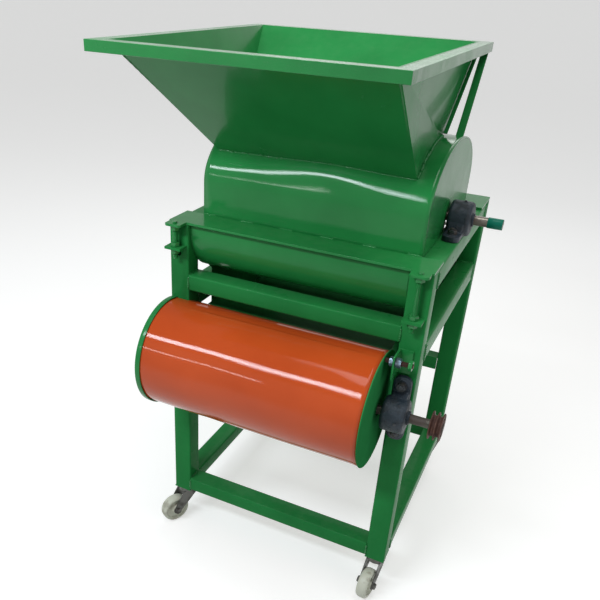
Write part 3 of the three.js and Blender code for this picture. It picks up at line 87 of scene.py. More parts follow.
def find_datum() -> Datum:
    """Reads the datum from the front bottom rail, which is centred and flush with the legs."""
    low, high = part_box("rail_bottom_front")
    return Datum((low.x + high.x) / 2, low.y, 0.0)


DATUM = find_datum()
BODY_OF = {
    node: body for body, nodes in frame["record"]["behaviour"]["bodies"].items() for node in nodes
}


class Axis(Enum):
    """The direction that a turned or extruded piece runs along."""

    X = 0
    Y = 1
    Z = 2


def along_axis(axis: Axis, along: Array, first: Array, second: Array) -> Array:
    """Points from places along an axis and along the next two axes in X, Y, Z order."""
    parts = np.broadcast_arrays(along, first, second)
    return np.stack([parts[(index - axis.value) % 3] for index in range(3)], axis=-1)


def around(axis: Axis, along: Array, radius: Array, angle: Array, centre: Pair) -> Array:
    """Points round an axis: its centre plus the radius times the angle's cosine and sine.

    Args:
        axis: The axis.
        along: Places along it.
        radius: Distances from it.
        angle: Angles round it.
        centre: Its place along the next two axes in X, Y, Z order.

    Returns:
        Points with x, y and z on the last axis.
    """
    first = centre[0] + radius * np.cos(angle)
    second = centre[1] + radius * np.sin(angle)
    return along_axis(axis, along, first, second)


def round_angles(sides: int) -> Array:
    """Even steps once round, without the closing one."""
    return np.linspace(0, FULL_TURN, sides, endpoint=False)


def unit(vector: Array) -> Array:
    """The vector at length 1."""
    return vector / np.linalg.norm(vector)


# Surfaces


@dataclass
class Surface:
    """Vertices in machine millimetres and the polygons between them."""

    vertices: Array
    faces: list[list[int]]


def join(*parts: Surface) -> Surface:
    """Puts several surfaces into one.

    Args:
        parts: The surfaces in their order.

    Returns:
        One surface with all vertices and faces.
    """
    faces: list[list[int]] = []
    count = 0
    for part in parts:
        faces += [[index + count for index in face] for face in part.faces]
        count += len(part.vertices)
    return Surface(np.concatenate([part.vertices for part in parts]), faces)


def grid_surface(
    points: Array, wrap_u: bool = False, wrap_v: bool = False, keep: Array | None = None
) -> Surface:
    """Joins a grid of points into quads, closing it round where asked.

    Args:
        points: Grid of points, shape (u, v, 3).
        wrap_u: Whether the last row joins the first.
        wrap_v: Whether the last column joins the first.
        keep: Optional mask of the cells to keep, shape of the cells.

    Returns:
        The surface of quads.
    """
    rows, columns = points.shape[:2]
    u = np.arange(rows if wrap_u else rows - 1)
    v = np.arange(columns if wrap_v else columns - 1)
    u_grid, v_grid = np.meshgrid(u, v, indexing="ij")
    next_u, next_v = (u_grid + 1) % rows, (v_grid + 1) % columns
    corners = [(u_grid, v_grid), (next_u, v_grid), (next_u, next_v), (u_grid, next_v)]
    quads = np.stack([row * columns + column for row, column in corners], axis=-1)
    quads = quads.reshape(-1, 4) if keep is None else quads[keep]
    return Surface(points.reshape(-1, 3), quads.tolist())


def tube(rings: Array) -> Surface:
    """Joins rings of points into a closed tube with a flat face at each end.

    Args:
        rings: One ring to a row, shape (rings, points, 3).

    Returns:
        The closed surface.
    """
    side = grid_surface(rings, False, True)
    count, total = rings.shape[1], len(side.vertices)
    ends = [list(range(count)), list(range(total - 1, total - count - 1, -1))]
    return Surface(side.vertices, side.faces + ends)


def turned(axis: Axis, profile: Array, centre: Pair, sides: int = 48) -> Surface:
    """A closed profile of (radius, place along the axis) carried round the axis.

    Args:
        axis: The axis of the turned piece.
        profile: Closed loop of points, shape (n, 2), radius first.
        centre: The axis's place along the next two axes in X, Y, Z order.
        sides: Number of steps round.

    Returns:
        The turned surface.
    """
    loop = np.asarray(profile, float)[None]
    angle = round_angles(sides)[:, None]
    return grid_surface(around(axis, loop[..., 1], loop[..., 0], angle, centre), True, True)


def prism(axis: Axis, outline: Array, span: Pair) -> Surface:
    """An outline, in the next two axes in X, Y, Z order, carried along an axis, with flat ends."""
    along = np.array(span, float)[:, None]
    return tube(along_axis(axis, along, outline[None, :, 0], outline[None, :, 1]))


def rounded_outline(first: Pair, second: Pair, radius: float, steps: int = 6) -> Array:
    """A rectangle with round corners, each a quarter circle.

    Args:
        first: Span along the first direction.
        second: Span along the second direction.
        radius: Corner radius.
        steps: Points on each corner.

    Returns:
        The outline, shape (n, 2).
    """
    quarter = np.linspace(0, np.pi / 2, steps)
    corners = [
        (first[1] - radius, second[1] - radius, 0.0),
        (first[0] + radius, second[1] - radius, np.pi / 2),
        (first[0] + radius, second[0] + radius, np.pi),
        (first[1] - radius, second[0] + radius, 3 * np.pi / 2),
    ]
    arcs = [
        np.stack([a + radius * np.cos(turn + quarter), b + radius * np.sin(turn + quarter)], axis=1)
        for a, b, turn in corners
    ]
    return np.concatenate(arcs)


def soft_profile(corners: Array, radius: float, steps: int = 4) -> Array:
    """Rounds each corner of a closed profile with a small arc-like blend.

    Near each corner it follows the quadratic curve between points set back along both sides.

    Args:
        corners: Closed profile, shape (n, 2).
        radius: How far the rounding is set back from a corner.
        steps: Points on each rounding.

    Returns:
        The rounded profile.
    """
    corners = np.asarray(corners, float)
    before = np.roll(corners, 1, axis=0) - corners
    after = np.roll(corners, -1, axis=0) - corners
    before_length = np.linalg.norm(before, axis=1, keepdims=True)
    after_length = np.linalg.norm(after, axis=1, keepdims=True)
    back = np.minimum(radius, np.minimum(before_length, after_length) * 0.45)
    start = (corners + before / before_length * back)[:, None]
    end = (corners + after / after_length * back)[:, None]
    t = np.linspace(0, 1, steps)[None, :, None]
    curve = (1 - t) ** 2 * start + 2 * t * (1 - t) * corners[:, None] + t**2 * end
    return curve.reshape(-1, 2)


def weld_bead(start: Triple, end: Triple, radius: float) -> Surface:
    """A weld along a straight seam: a thin tube whose radius swells once for each drop of weld.

    The radius at distance s is the mean radius times 1 plus a fifth of the sine of s over the
    drop's length, with a slower change on top, and it falls to a point at both ends. The middle
    wanders a little to both sides.

    Args:
        start: Start of the seam in machine millimetres.
        end: End of the seam.
        radius: Mean radius of the bead.

    Returns:
        The closed bead.
    """
    drop_length, swell_length, wander_length = radius * 2.1, radius * 9.0, radius * 13.0
    first, last = np.array(start, float), np.array(end, float)
    length = float(np.linalg.norm(last - first))
    s = np.linspace(0, 1, max(8, int(length / (radius * 0.45))))[:, None]
    direction = (last - first) / length
    steep = abs(direction[2]) >= 0.9
    across = unit(np.cross(direction, [1.0, 0.0, 0.0] if steep else [0.0, 0.0, 1.0]))
    upward = np.cross(across, direction)
    phase = float(np.sum(first * np.array([0.31, 0.17, 0.53])))
    drops = 1 + 0.2 * np.sin(FULL_TURN * s * length / drop_length)
    drops = drops + 0.14 * np.sin(FULL_TURN * s * length / swell_length + phase)
    ends = np.clip(np.minimum(s, 1 - s) * length / (radius * 1.2), 0, 1) ** 0.5
    size = radius * drops * np.maximum(ends, 0.02)
    angle = round_angles(8)[None, :]
    wander = radius * 0.18 * np.sin(FULL_TURN * s * length / wander_length + phase)
    middle = first + s * (last - first) + wander * across
    rings = middle[:, None, :] + (size * np.cos(angle))[:, :, None] * across
    return tube(rings + (size * np.sin(angle))[:, :, None] * upward)


# Pieces


@dataclass(frozen=True)
class Skin:
    """How a piece's mesh is finished: wall thickness, softened edges and smoothing."""

    wall: float = 0.0
    edge: float = 0.0
    edge_steps: int = 2
    sharp_degrees: float = 35.0
    edge_degrees: float = 30.0

    def smooth(self, mesh: bpy.types.Mesh) -> None:
        """Shades the mesh smooth up to the sharp edges."""
        mesh.shade_smooth()
        mesh.set_sharp_from_angle(angle=math.radians(self.sharp_degrees))

    def add_modifiers(self, piece: bpy.types.Object) -> None:
        """Gives a sheet its thickness and softens its edges.

        Args:
            piece: The object to finish.
        """
        if self.wall:
            wall = piece.modifiers.new("Sheet thickness", "SOLIDIFY")
            wall.thickness = self.wall * MM
            wall.offset = -1
        if self.edge:
            edge = piece.modifiers.new("Softened edges", "BEVEL")
            edge.width = self.edge * MM
            edge.segments = self.edge_steps
            edge.limit_method = "ANGLE"
            edge.angle_limit = math.radians(self.edge_degrees)
            edge.harden_normals = True
            edge.use_clamp_overlap = True


PLATE_EDGES = Skin(edge=0.9, sharp_degrees=30)
TUBE_EDGES = Skin(edge=1.0, sharp_degrees=50, edge_degrees=50)
FINE_EDGES = Skin(edge=0.4, edge_steps=1, sharp_degrees=30)
HARDWARE = Skin(sharp_degrees=30)
ROUND = Skin(sharp_degrees=40)
BEADS = Skin(sharp_degrees=80)


def stand(name: str, data: bpy.types.ID) -> bpy.types.Object:
    """Makes an object and puts it in the scene.

    Args:
        name: The object's name.
        data: Its mesh, lamp or camera.

    Returns:
        The new object.
    """
    made = bpy.data.objects.new(name, data)
    bpy.context.scene.collection.objects.link(made)
    return made


def hang(
    name: str, mesh: bpy.types.Mesh, finish: Finish, body: str, skin: Skin, *replaced: str
) -> bpy.types.Object:
    """Makes a mesh a finished piece on its body.

    Args:
        name: The piece's name.
        mesh: Its mesh, in frame metres.
        finish: Its finish.
        body: The body that carries it.
        skin: Wall, edge and smoothing.
        replaced: CAD nodes that it stands for.

    Returns:
        The new object.
    """
    skin.smooth(mesh)
    mesh.materials.clear()
    mesh.materials.append(finish.material())
    piece = stand(name, mesh)
    skin.add_modifiers(piece)
    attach(piece, body)
    if replaced:
        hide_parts(*replaced)
    LOG.info("%s: %d faces on %s", name, len(mesh.polygons), body)
    return piece


def make_piece(
    name: str, surface: Surface, finish: Finish, body: str, skin: Skin, *replaced: str
) -> bpy.types.Object:
    """Builds one object from a surface and hangs it on its body.

    Args:
        name: The piece's name.
        surface: Its surface in machine millimetres.
        finish: Its finish.
        body: The body that carries it.
        skin: Wall, edge and smoothing.
        replaced: CAD nodes that it stands for.

    Returns:
        The new object.
    """
    mesh = bpy.data.meshes.new(name)
    mesh.from_pydata(DATUM.place(surface.vertices).tolist(), [], surface.faces)
    shape = bmesh.new()
    shape.from_mesh(mesh)
    bmesh.ops.remove_doubles(shape, verts=shape.verts, dist=1e-6)
    bmesh.ops.recalc_face_normals(shape, faces=shape.faces)
    shape.to_mesh(mesh)
    shape.free()
    return hang(name, mesh, finish, body, skin, *replaced)


def soften_node(node: str, finish: Finish, skin: Skin) -> bpy.types.Object:
    """Stands a copy with softened edges in for a CAD node of flat plates or tubes.

    Args:
        node: The CAD node.
        finish: Its finish.
        skin: Edge width and smoothing.

    Returns:
        The new object.
    """
    mesh = frame["nodes"][node].data.copy()
    mesh.name = node + "_softened"
    shape = bmesh.new()
    shape.from_mesh(mesh)
    bmesh.ops.remove_doubles(shape, verts=shape.verts, dist=2e-5)
    bmesh.ops.dissolve_limit(
        shape, angle_limit=math.radians(1.0), verts=shape.verts, edges=shape.edges
    )
    shape.to_mesh(mesh)
    shape.free()
    return hang(mesh.name, mesh, finish, BODY_OF[node], skin, node)


# Shader groups


class NodeBench:
    """Adds nodes and links to one node tree."""

    def __init__(self, tree: Tree) -> None:
        """Keeps the tree to work on."""
        self.tree = tree

    def node(self, kind: str, **settings: object) -> Node:
        """Adds a node and sets its properties and its unlinked inputs.

        Args:
            kind: The node's type name.
            settings: Properties by name, or inputs by name when the node has such an input.

        Returns:
            The new node.
        """
        made = self.tree.nodes.new(kind)
        for key, value in settings.items():
            if hasattr(made, key):
                setattr(made, key, value)
            else:
                made.inputs[key.replace("_", " ")].default_value = value
        return made

    def feed(self, target: Socket, source: object) -> None:
        """Links a socket to the target, or sets the target to a number or a colour.

        Args:
            target: The input socket.
            source: An output socket, a number or an RGBA tuple.
        """
        if isinstance(source, (int, float, tuple)):
            target.default_value = source
        else:
            self.tree.links.new(source, target)

    def spread(
        self, source: Socket, low: float, high: float, to_low: float, to_high: float
    ) -> Socket:
        """Maps a value from one range to another, clamped.

        Args:
            source: The value.
            low: Start of the incoming range.
            high: End of the incoming range.
            to_low: Start of the outgoing range.
            to_high: End of the outgoing range.

        Returns:
            The mapped value's socket.
        """
        mapped = self.node(
            "ShaderNodeMapRange", From_Min=low, From_Max=high, To_Min=to_low, To_Max=to_high
        )
        self.feed(mapped.inputs["Value"], source)
        return mapped.outputs["Result"]

    def math(self, operation: str, first: object, second: object) -> Socket:
        """Adds a math node on two sockets or numbers.

        Args:
            operation: The operation's name.
            first: A socket or a number.
            second: A socket or a number.

        Returns:
            The result's socket.
        """
        node = self.node("ShaderNodeMath", operation=operation)
        self.feed(node.inputs[0], first)
        self.feed(node.inputs[1], second)
        return node.outputs["Value"]

    def mix(self, kind: str, factor: object, first: object, second: object) -> Socket:
        """Mixes two colours or two numbers by a factor.

        Args:
            kind: "RGBA" for colours or "VALUE" for numbers.
            factor: The share of the second.
            first: A socket or a value.
            second: A socket or a value.

        Returns:
            The mixed socket.
        """
        node = self.node("ShaderNodeMix", data_type="RGBA" if kind == "RGBA" else "FLOAT")
        self.feed(node.inputs["Factor"], factor)
        for name, value in (("A", first), ("B", second)):
            socket = next(one for one in node.inputs if (one.name, one.type) == (name, kind))
            self.feed(socket, value)
        return next(one for one in node.outputs if one.type == kind)

    def noise(self, scale: object, detail: float, place: Socket) -> Socket:
        """Adds a noise texture and returns its value.

        Args:
            scale: A socket or a number.
            detail: Levels of detail.
            place: The coordinates.

        Returns:
            The noise value's socket.
        """
        node = self.node("ShaderNodeTexNoise", Detail=detail)
        self.feed(node.inputs["Vector"], place)
        self.feed(node.inputs["Scale"], scale)
        return node.outputs["Fac"]

    def bump(self, distance: float, strength: object, height: object) -> Node:
        """Adds a bump node.

        Args:
            distance: Height in metres that a value of 1 stands for.
            strength: Its strength, a socket.
            height: Its height, a socket.

        Returns:
            The bump node.
        """
        node = self.node("ShaderNodeBump", Distance=distance)
        self.feed(node.inputs["Strength"], strength)
        self.feed(node.inputs["Height"], height)
        return node


SURFACE_OUTPUTS = {
    "Colour": "NodeSocketColor", "Roughness": "NodeSocketFloat", "Normal": "NodeSocketVector",
}
SHADER_INPUTS = {"Colour": "Base Color", "Roughness": "Roughness", "Normal": "Normal"}


def new_group(name: str, inputs: dict[str, object], outputs: dict[str, str]) -> Tree:
    """Makes an empty shader group with named sockets.

    Args:
        name: The group's name.
        inputs: Default value of each input, a number or an RGBA tuple.
        outputs: Socket type of each output.

    Returns:
        The new group's tree.
    """
    tree = bpy.data.node_groups.new(name, "ShaderNodeTree")
    for label, value in inputs.items():
        kind = "NodeSocketColor" if isinstance(value, tuple) else "NodeSocketFloat"
        socket = tree.interface.new_socket(label, in_out="INPUT", socket_type=kind)
        socket.default_value = value
    for label, kind in outputs.items():
        tree.interface.new_socket(label, in_out="OUTPUT", socket_type=kind)
    return tree


def paint_group() -> Tree:
    """Sprayed paint: slow colour changes, orange peel, and dust where the surface faces up.

    Returns:
        The group's tree, built once.
    """
    name = "Sprayed paint"
    if name in bpy.data.node_groups:
        return bpy.data.node_groups[name]
    speck_size, smear_size, soft_peel_size = 46.0, 9.0, 18.0
    wave_height, peel_height = 0.12, 0.002
    inputs = {
        "Paint": (0.1, 0.4, 0.2, 1.0),
        "Deep Paint": (0.05, 0.2, 0.1, 1.0),
        "Dust": (0.5, 0.5, 0.42, 1.0),
        "Patch Size": 5.0,
        "Peel Size": 350.0,
        "Peel Depth": 0.05,
        "Dust Amount": 0.1,
        "Gloss": 0.2,
        "Smear": 0.1,
        "Wave Size": 3.0,
        "Wave Depth": 0.0,
    }
    tree = new_group(name, inputs, SURFACE_OUTPUTS)
    bench = NodeBench(tree)
    given = bench.node("NodeGroupInput").outputs
    coordinates = bench.node("ShaderNodeTexCoord").outputs
    place = coordinates["Object"]
    patches = bench.spread(bench.noise(given["Patch Size"], 4.0, place), 0.35, 0.7, 0.0, 1.0)
    colour = bench.mix("RGBA", patches, given["Paint"], given["Deep Paint"])
    facing = bench.node("ShaderNodeSeparateXYZ")
    bench.feed(facing.inputs[0], coordinates["Normal"])
    upward = bench.spread(facing.outputs["Z"], 0.3, 1.0, 0.0, 1.0)
    specks = bench.spread(bench.noise(speck_size, 8.0, place), 0.4, 0.75, 0.2, 1.0)
    dust = bench.math("MULTIPLY", bench.math("MULTIPLY", upward, specks), given["Dust Amount"])
    patchy = bench.spread(bench.noise(smear_size, 6.0, place), 0.4, 0.75, 0.0, 1.0)
    smears = bench.math("MULTIPLY", patchy, given["Smear"])
    dulled = bench.math("ADD", smears, bench.math("MULTIPLY", dust, 0.6))
    peel = bench.math("MULTIPLY", bench.noise(given["Peel Size"], 2.0, place), 0.25)
    peel = bench.math("ADD", peel, bench.noise(soft_peel_size, 1.0, place))
    waves = bench.noise(given["Wave Size"], 0.0, place)
    sheet = bench.bump(wave_height, given["Wave Depth"], waves)
    bump = bench.bump(peel_height, given["Peel Depth"], peel)
    bench.feed(bump.inputs["Normal"], sheet.outputs["Normal"])
    out = bench.node("NodeGroupOutput").inputs
    bench.feed(out["Colour"], bench.mix("RGBA", dust, colour, given["Dust"]))
    bench.feed(out["Roughness"], bench.math("ADD", given["Gloss"], dulled))
    bench.feed(out["Normal"], bump.outputs["Normal"])
    return tree


def metal_group() -> Tree:
    """Weathered metal: a base and a stain colour in blotches, with fine pits.

    Returns:
        The group's tree, built once.
    """
    name = "Weathered metal"
    if name in bpy.data.node_groups:
        return bpy.data.node_groups[name]
    pit_size, pit_height, blotch_edge = 420.0, 0.0012, 0.12
    inputs = {
        "Metal": (0.4, 0.4, 0.4, 1.0),
        "Stain": (0.2, 0.1, 0.06, 1.0),
        "Blotch Size": 30.0,
        "Stain Start": 0.45,
        "Smooth": 0.35,
        "Stained": 0.7,
        "Pit Depth": 0.2,
    }
    tree = new_group(name, inputs, {**SURFACE_OUTPUTS, "Bare": "NodeSocketFloat"})
    bench = NodeBench(tree)
    given = bench.node("NodeGroupInput").outputs
    place = bench.node("ShaderNodeTexCoord").outputs["Object"]
    blotches = bench.noise(given["Blotch Size"], 7.0, place)
    above = bench.math("SUBTRACT", blotches, given["Stain Start"])
    stain = bench.spread(above, 0.0, blotch_edge, 0.0, 1.0)
    grain = bench.noise(pit_size, 3.0, place)
    specks = bench.spread(grain, 0.3, 0.7, 0.0, 0.35)
    tone = bench.mix("RGBA", specks, given["Stain"], given["Metal"])
    pits = bench.math("ADD", grain, bench.math("MULTIPLY", stain, 0.5))
    bump = bench.bump(pit_height, given["Pit Depth"], pits)
    out = bench.node("NodeGroupOutput").inputs
    bench.feed(out["Colour"], bench.mix("RGBA", stain, given["Metal"], tone))
    bench.feed(out["Roughness"], bench.mix("VALUE", stain, given["Smooth"], given["Stained"]))
    bench.feed(out["Normal"], bump.outputs["Normal"])
    bench.feed(out["Bare"], bench.math("SUBTRACT", 1.0, stain))
    return tree


# Finishes


class Slot(Enum):
    """The record's material slots."""

    GREEN = "frame_green"
    ORANGE = "drum_orange"
    CASTING = "bearing_casting"
    TEAL = "sleeve_teal"
    NYLON = "nylon"
    RUST = "rusty_iron"
    STEEL = "bare_steel"
    ZINC = "zinc_plated"


@dataclass(frozen=True)
class Finish:
    """A named finish that builds its material once."""

    name: str
    slot: Slot
    colour: Triple

    def material(self) -> bpy.types.Material:
        """Returns the finish's material, building it at the first call."""
        if self.name in bpy.data.materials:
            return bpy.data.materials[self.name]
        made = bpy.data.materials.new(self.name)
        made.use_nodes = True
        self.build(NodeBench(made.node_tree), made.node_tree.nodes["Principled BSDF"])
        return made

    def build(self, bench: NodeBench, shader: Node) -> None:
        """Fills the material; each kind of finish has its own way."""
        raise NotImplementedError

    def place(
        self,
        bench: NodeBench,
        shader: Node,
        tree: Tree,
        values: dict[str, object],
    ) -> Node:
        """Places a shader group and links its colour, roughness and normal to the shader.

        Args:
            bench: The material's node bench.
            shader: Its Principled node.
            tree: The shader group.
            values: The group's own values in this material.

        Returns:
            The placed group.
        """
        group = bench.node("ShaderNodeGroup", node_tree=tree)
        for label, value in values.items():
            group.inputs[label].default_value = value
        for label, target in SHADER_INPUTS.items():
            bench.feed(shader.inputs[target], group.outputs[label])
        return group


@dataclass(frozen=True)
class Paint(Finish):
    """Glossy sprayed enamel."""

    deep: Triple
    gloss: float = 0.18
    dust: float = 0.03
    coat: float = 0.15
    peel: float = 0.08
    shine: float = 0.12
    smear: float = 0.1
    wave: float = 0.0
    wave_size: float = 3.0
    coat_roughness: float = 0.06

    def build(self, bench: NodeBench, shader: Node) -> None:
        """Places the paint group and sets the clear coat.

        Args:
            bench: The material's node bench.
            shader: Its Principled node.
        """
        self.place(bench, shader, paint_group(), {
            "Paint": (*self.colour, 1.0), "Deep Paint": (*self.deep, 1.0), "Gloss": self.gloss,
            "Dust Amount": self.dust, "Peel Depth": self.peel, "Smear": self.smear,
            "Wave Depth": self.wave, "Wave Size": self.wave_size,
        })
        shader.inputs["Coat Weight"].default_value = self.coat
        shader.inputs["Coat Roughness"].default_value = self.coat_roughness
        shader.inputs["Specular IOR Level"].default_value = self.shine


@dataclass(frozen=True)
class Metal(Finish):
    """Bare, plated, rusty or cast metal, and moulded nylon."""

    stain: Triple
    metallic: float
    blotch: float = 30.0
    start: float = 0.5
    smooth: float = 0.35
    stained: float = 0.7
    pits: float = 0.25

    def build(self, bench: NodeBench, shader: Node) -> None:
        """Places the metal group.

        Args:
            bench: The material's node bench.
            shader: Its Principled node.
        """
        group = self.place(bench, shader, metal_group(), {
            "Metal": (*self.colour, 1.0), "Stain": (*self.stain, 1.0), "Blotch Size": self.blotch,
            "Stain Start": self.start, "Smooth": self.smooth, "Stained": self.stained,
            "Pit Depth": self.pits,
        })
        bare = bench.math("MULTIPLY", group.outputs["Bare"], self.metallic)
        bench.feed(shader.inputs["Metallic"], bare)


GREEN = Paint("Green enamel", Slot.GREEN, (0.022, 0.27, 0.064), deep=(0.015, 0.205, 0.047))
RIM_GREEN = replace(
    GREEN, name="Thick green enamel on the rim",
    gloss=0.1, coat=0.35, peel=0.9, shine=0.2, smear=0.25,
)
COVER_GREEN = replace(
    GREEN, name="Green enamel on bent sheet", deep=(0.015, 0.215, 0.049),
    gloss=0.1, coat=0.2, shine=0.17, smear=0.03, wave=0.12, wave_size=5.0,
)
TUBE_GREEN = Paint(
    "Green enamel on tube", Slot.GREEN, (0.022, 0.26, 0.062), deep=(0.015, 0.195, 0.045),
    gloss=0.26, coat=0.04, shine=0.04,
)
# A dull, darker copy of the green: less shine, and a colour darkened as painted shade for the rear
# legs and the hopper's laps, which stand in shade.
DULL_SHADED_GREEN = Paint(
    "Dull green enamel with painted shade", Slot.GREEN, (0.02, 0.24, 0.057), deep=(0.014, 0.18, 0.042),
    gloss=0.5, coat=0.0, shine=0.03,
)
# A flat, lighter copy of the green for the drum's right end plate: no shine, and a colour raised as
# painted light in place of the sheen it lacks.
LIT_END_GREEN = Paint(
    "Flat green enamel on the drum's end with painted light", Slot.GREEN, (0.034, 0.29, 0.085),
    deep=(0.026, 0.22, 0.062), gloss=0.5, coat=0.0, shine=0.0,
)
# A darker copy of the green for the parts inside the casing, the drum and the rotor: painted shade,
# for the little light that reaches in there.
SHADED_INSIDE_GREEN = Paint(
    "Green enamel inside with painted shade", Slot.GREEN, (0.02, 0.24, 0.057), deep=(0.012, 0.165, 0.04),
    gloss=0.3, coat=0.08,
)
WELD_GREEN = Paint(
    "Green enamel over weld", Slot.GREEN, (0.022, 0.26, 0.062), deep=(0.014, 0.19, 0.045),
    gloss=0.12, peel=0.9, dust=0.04, coat=0.3, shine=0.2,
)
ORANGE = Paint(
    "Orange enamel", Slot.ORANGE, (0.62, 0.086, 0.016), deep=(0.54, 0.07, 0.012),
    gloss=0.08, coat=0.28, dust=0.0, peel=0.04, shine=0.14, smear=0.03, wave=0.1, wave_size=5.0,
)
TEAL = Paint(
    "Teal sleeve", Slot.TEAL, (0.006, 0.24, 0.155), deep=(0.004, 0.16, 0.105), gloss=0.35, coat=0.1
)
CASTING = Metal(
    "Painted casting", Slot.CASTING, (0.016, 0.028, 0.042), stain=(0.01, 0.015, 0.021),
    metallic=0.12, blotch=60, smooth=0.46, stained=0.62, pits=0.9,
)
RUST = Metal(
    "Rusty iron", Slot.RUST, (0.11, 0.05, 0.035), stain=(0.05, 0.018, 0.012),
    metallic=0.5, blotch=40, start=0.42, smooth=0.5, stained=0.82, pits=0.6,
)
STEEL = Metal(
    "Oiled steel", Slot.STEEL, (0.2, 0.18, 0.155), stain=(0.09, 0.06, 0.042),
    metallic=0.9, blotch=25, smooth=0.32, stained=0.55, pits=0.2,
)
DARK_SHAFT = Metal(
    "Dark oiled shaft", Slot.STEEL, (0.075, 0.068, 0.054), stain=(0.05, 0.032, 0.024),
    metallic=0.6, blotch=50, start=0.46, stained=0.6, pits=0.4,
)
BLUE_ZINC = Metal(
    "Blue zinc plate", Slot.ZINC, (0.2, 0.27, 0.34), stain=(0.05, 0.06, 0.07),
    metallic=0.85, blotch=60, start=0.48, smooth=0.28, stained=0.55, pits=0.3,
)
DARK_BOLT = Metal(
    "Blackened bolt", Slot.ZINC, (0.05, 0.055, 0.06), stain=(0.03, 0.022, 0.016),
    metallic=0.5, blotch=70, smooth=0.38, stained=0.65,
)
DARK_ZINC = Metal(
    "Dull fork plate", Slot.ZINC, (0.13, 0.13, 0.12), stain=(0.05, 0.045, 0.035),
    metallic=0.7, blotch=45, start=0.48, smooth=0.4, stained=0.65,
)
NYLON = Metal(
    "White nylon", Slot.NYLON, (0.66, 0.68, 0.56), stain=(0.4, 0.39, 0.3),
    metallic=0.0, blotch=35, start=0.52, smooth=0.42, stained=0.6, pits=0.1,
)


# Hardware


def chamfered_hex(axis: Axis, centre: Pair, radius: float, span: Pair) -> Surface:
    """A hexagon whose corners are cut by a cone at both ends.

    At each height its radius is the smaller of the hexagon's and the chamfer's.

    Args:
        axis: The hexagon's axis.
        centre: The axis's place.
        radius: Distance to a corner.
        span: Start and end along the axis.

    Returns:
        The closed nut or head, without a hole.
    """
    angle = round_angles(48)[None, :]
    flat = radius * math.cos(math.pi / 6)
    hexagon = flat / np.cos(angle % (math.pi / 3) - math.pi / 6)
    steps = np.array([0.0, 0.0, 0.14, 0.86, 1.0, 1.0])[:, None]
    limit = np.array([0.0, 0.92, 1.0, 1.0, 0.92, 0.0])[:, None] * radius
    along = span[0] + steps * (span[1] - span[0])
    points = around(axis, along, np.minimum(hexagon, limit), angle, centre)
    return grid_surface(points, False, True)


def threaded_rod(axis: Axis, centre: Pair, radius: float, span: Pair) -> Surface:
    """A rod whose radius follows a triangle wave along it, with closed ends.

    Args:
        axis: The rod's axis.
        centre: The axis's place.
        radius: Outer radius of the thread.
        span: Start and end along the axis.

    Returns:
        The closed rod.
    """
    pitch, depth = 1.75, 0.9
    count = max(2, int((span[1] - span[0]) / (pitch / 2)))
    along = np.linspace(span[0], span[1], count)
    size = radius - depth * (np.arange(count) % 2)
    size[[0, -1]] = radius - depth * 1.4
    along = np.concatenate([[span[0]], along, [span[1]]])[:, None]
    size = np.concatenate([[0.0], size, [0.0]])[:, None]
    return grid_surface(around(axis, along, size, round_angles(20)[None, :], centre), False, True)


def peg(centre: Pair, low_radius: float, top_radius: float, span: Pair, sides: int) -> Surface:
    """An upright round peg, straight or tapered.

    Args:
        centre: Its x and y.
        low_radius: Its radius below.
        top_radius: Its radius above.
        span: Its lower and upper end.
        sides: Number of steps round.

    Returns:
        The closed peg.
    """
    low, top = span
    profile = [[AXIS_RADIUS, low], [low_radius, low], [top_radius, top], [AXIS_RADIUS, top]]
    return turned(Axis.Z, profile, centre, sides)


def round_bar(centre: Pair, radius: float, span: Pair, chamfer: float = 1.0) -> Surface:
    """A round bar along X with chamfered ends.

    Args:
        centre: Its y and z.
        radius: Its radius.
        span: Its left and right end.
        chamfer: Width of the chamfers.

    Returns:
        The closed bar.
    """
    low, high, end = span[0], span[1], radius - chamfer
    profile = [
        [AXIS_RADIUS, low], [end, low], [radius, low + chamfer],
        [radius, high - chamfer], [end, high], [AXIS_RADIUS, high],
    ]
    return turned(Axis.X, profile, centre)


def flat_bar(head: Triple, foot: Triple, width: float, thickness: float) -> Surface:
    """A straight flat bar between two points with its wide face to the front.

    Args:
        head: Middle of its upper end.
        foot: Middle of its lower end.
        width: Its width, level from side to side.
        thickness: Its thickness.

    Returns:
        The closed bar.
    """
    upper, lower = np.array(head, float), np.array(foot, float)
    down = unit(lower - upper)
    across = unit(np.cross(down, [1.0, 0.0, 0.0]))
    sideways = np.cross(across, down)
    corners = np.array([[-1, -1], [1, -1], [1, 1], [-1, 1]]) / 2
    section = corners[:, :1] * width * sideways + corners[:, 1:] * thickness * across
    return tube(np.stack([upper + section, lower + section]))


# Sub-assemblies


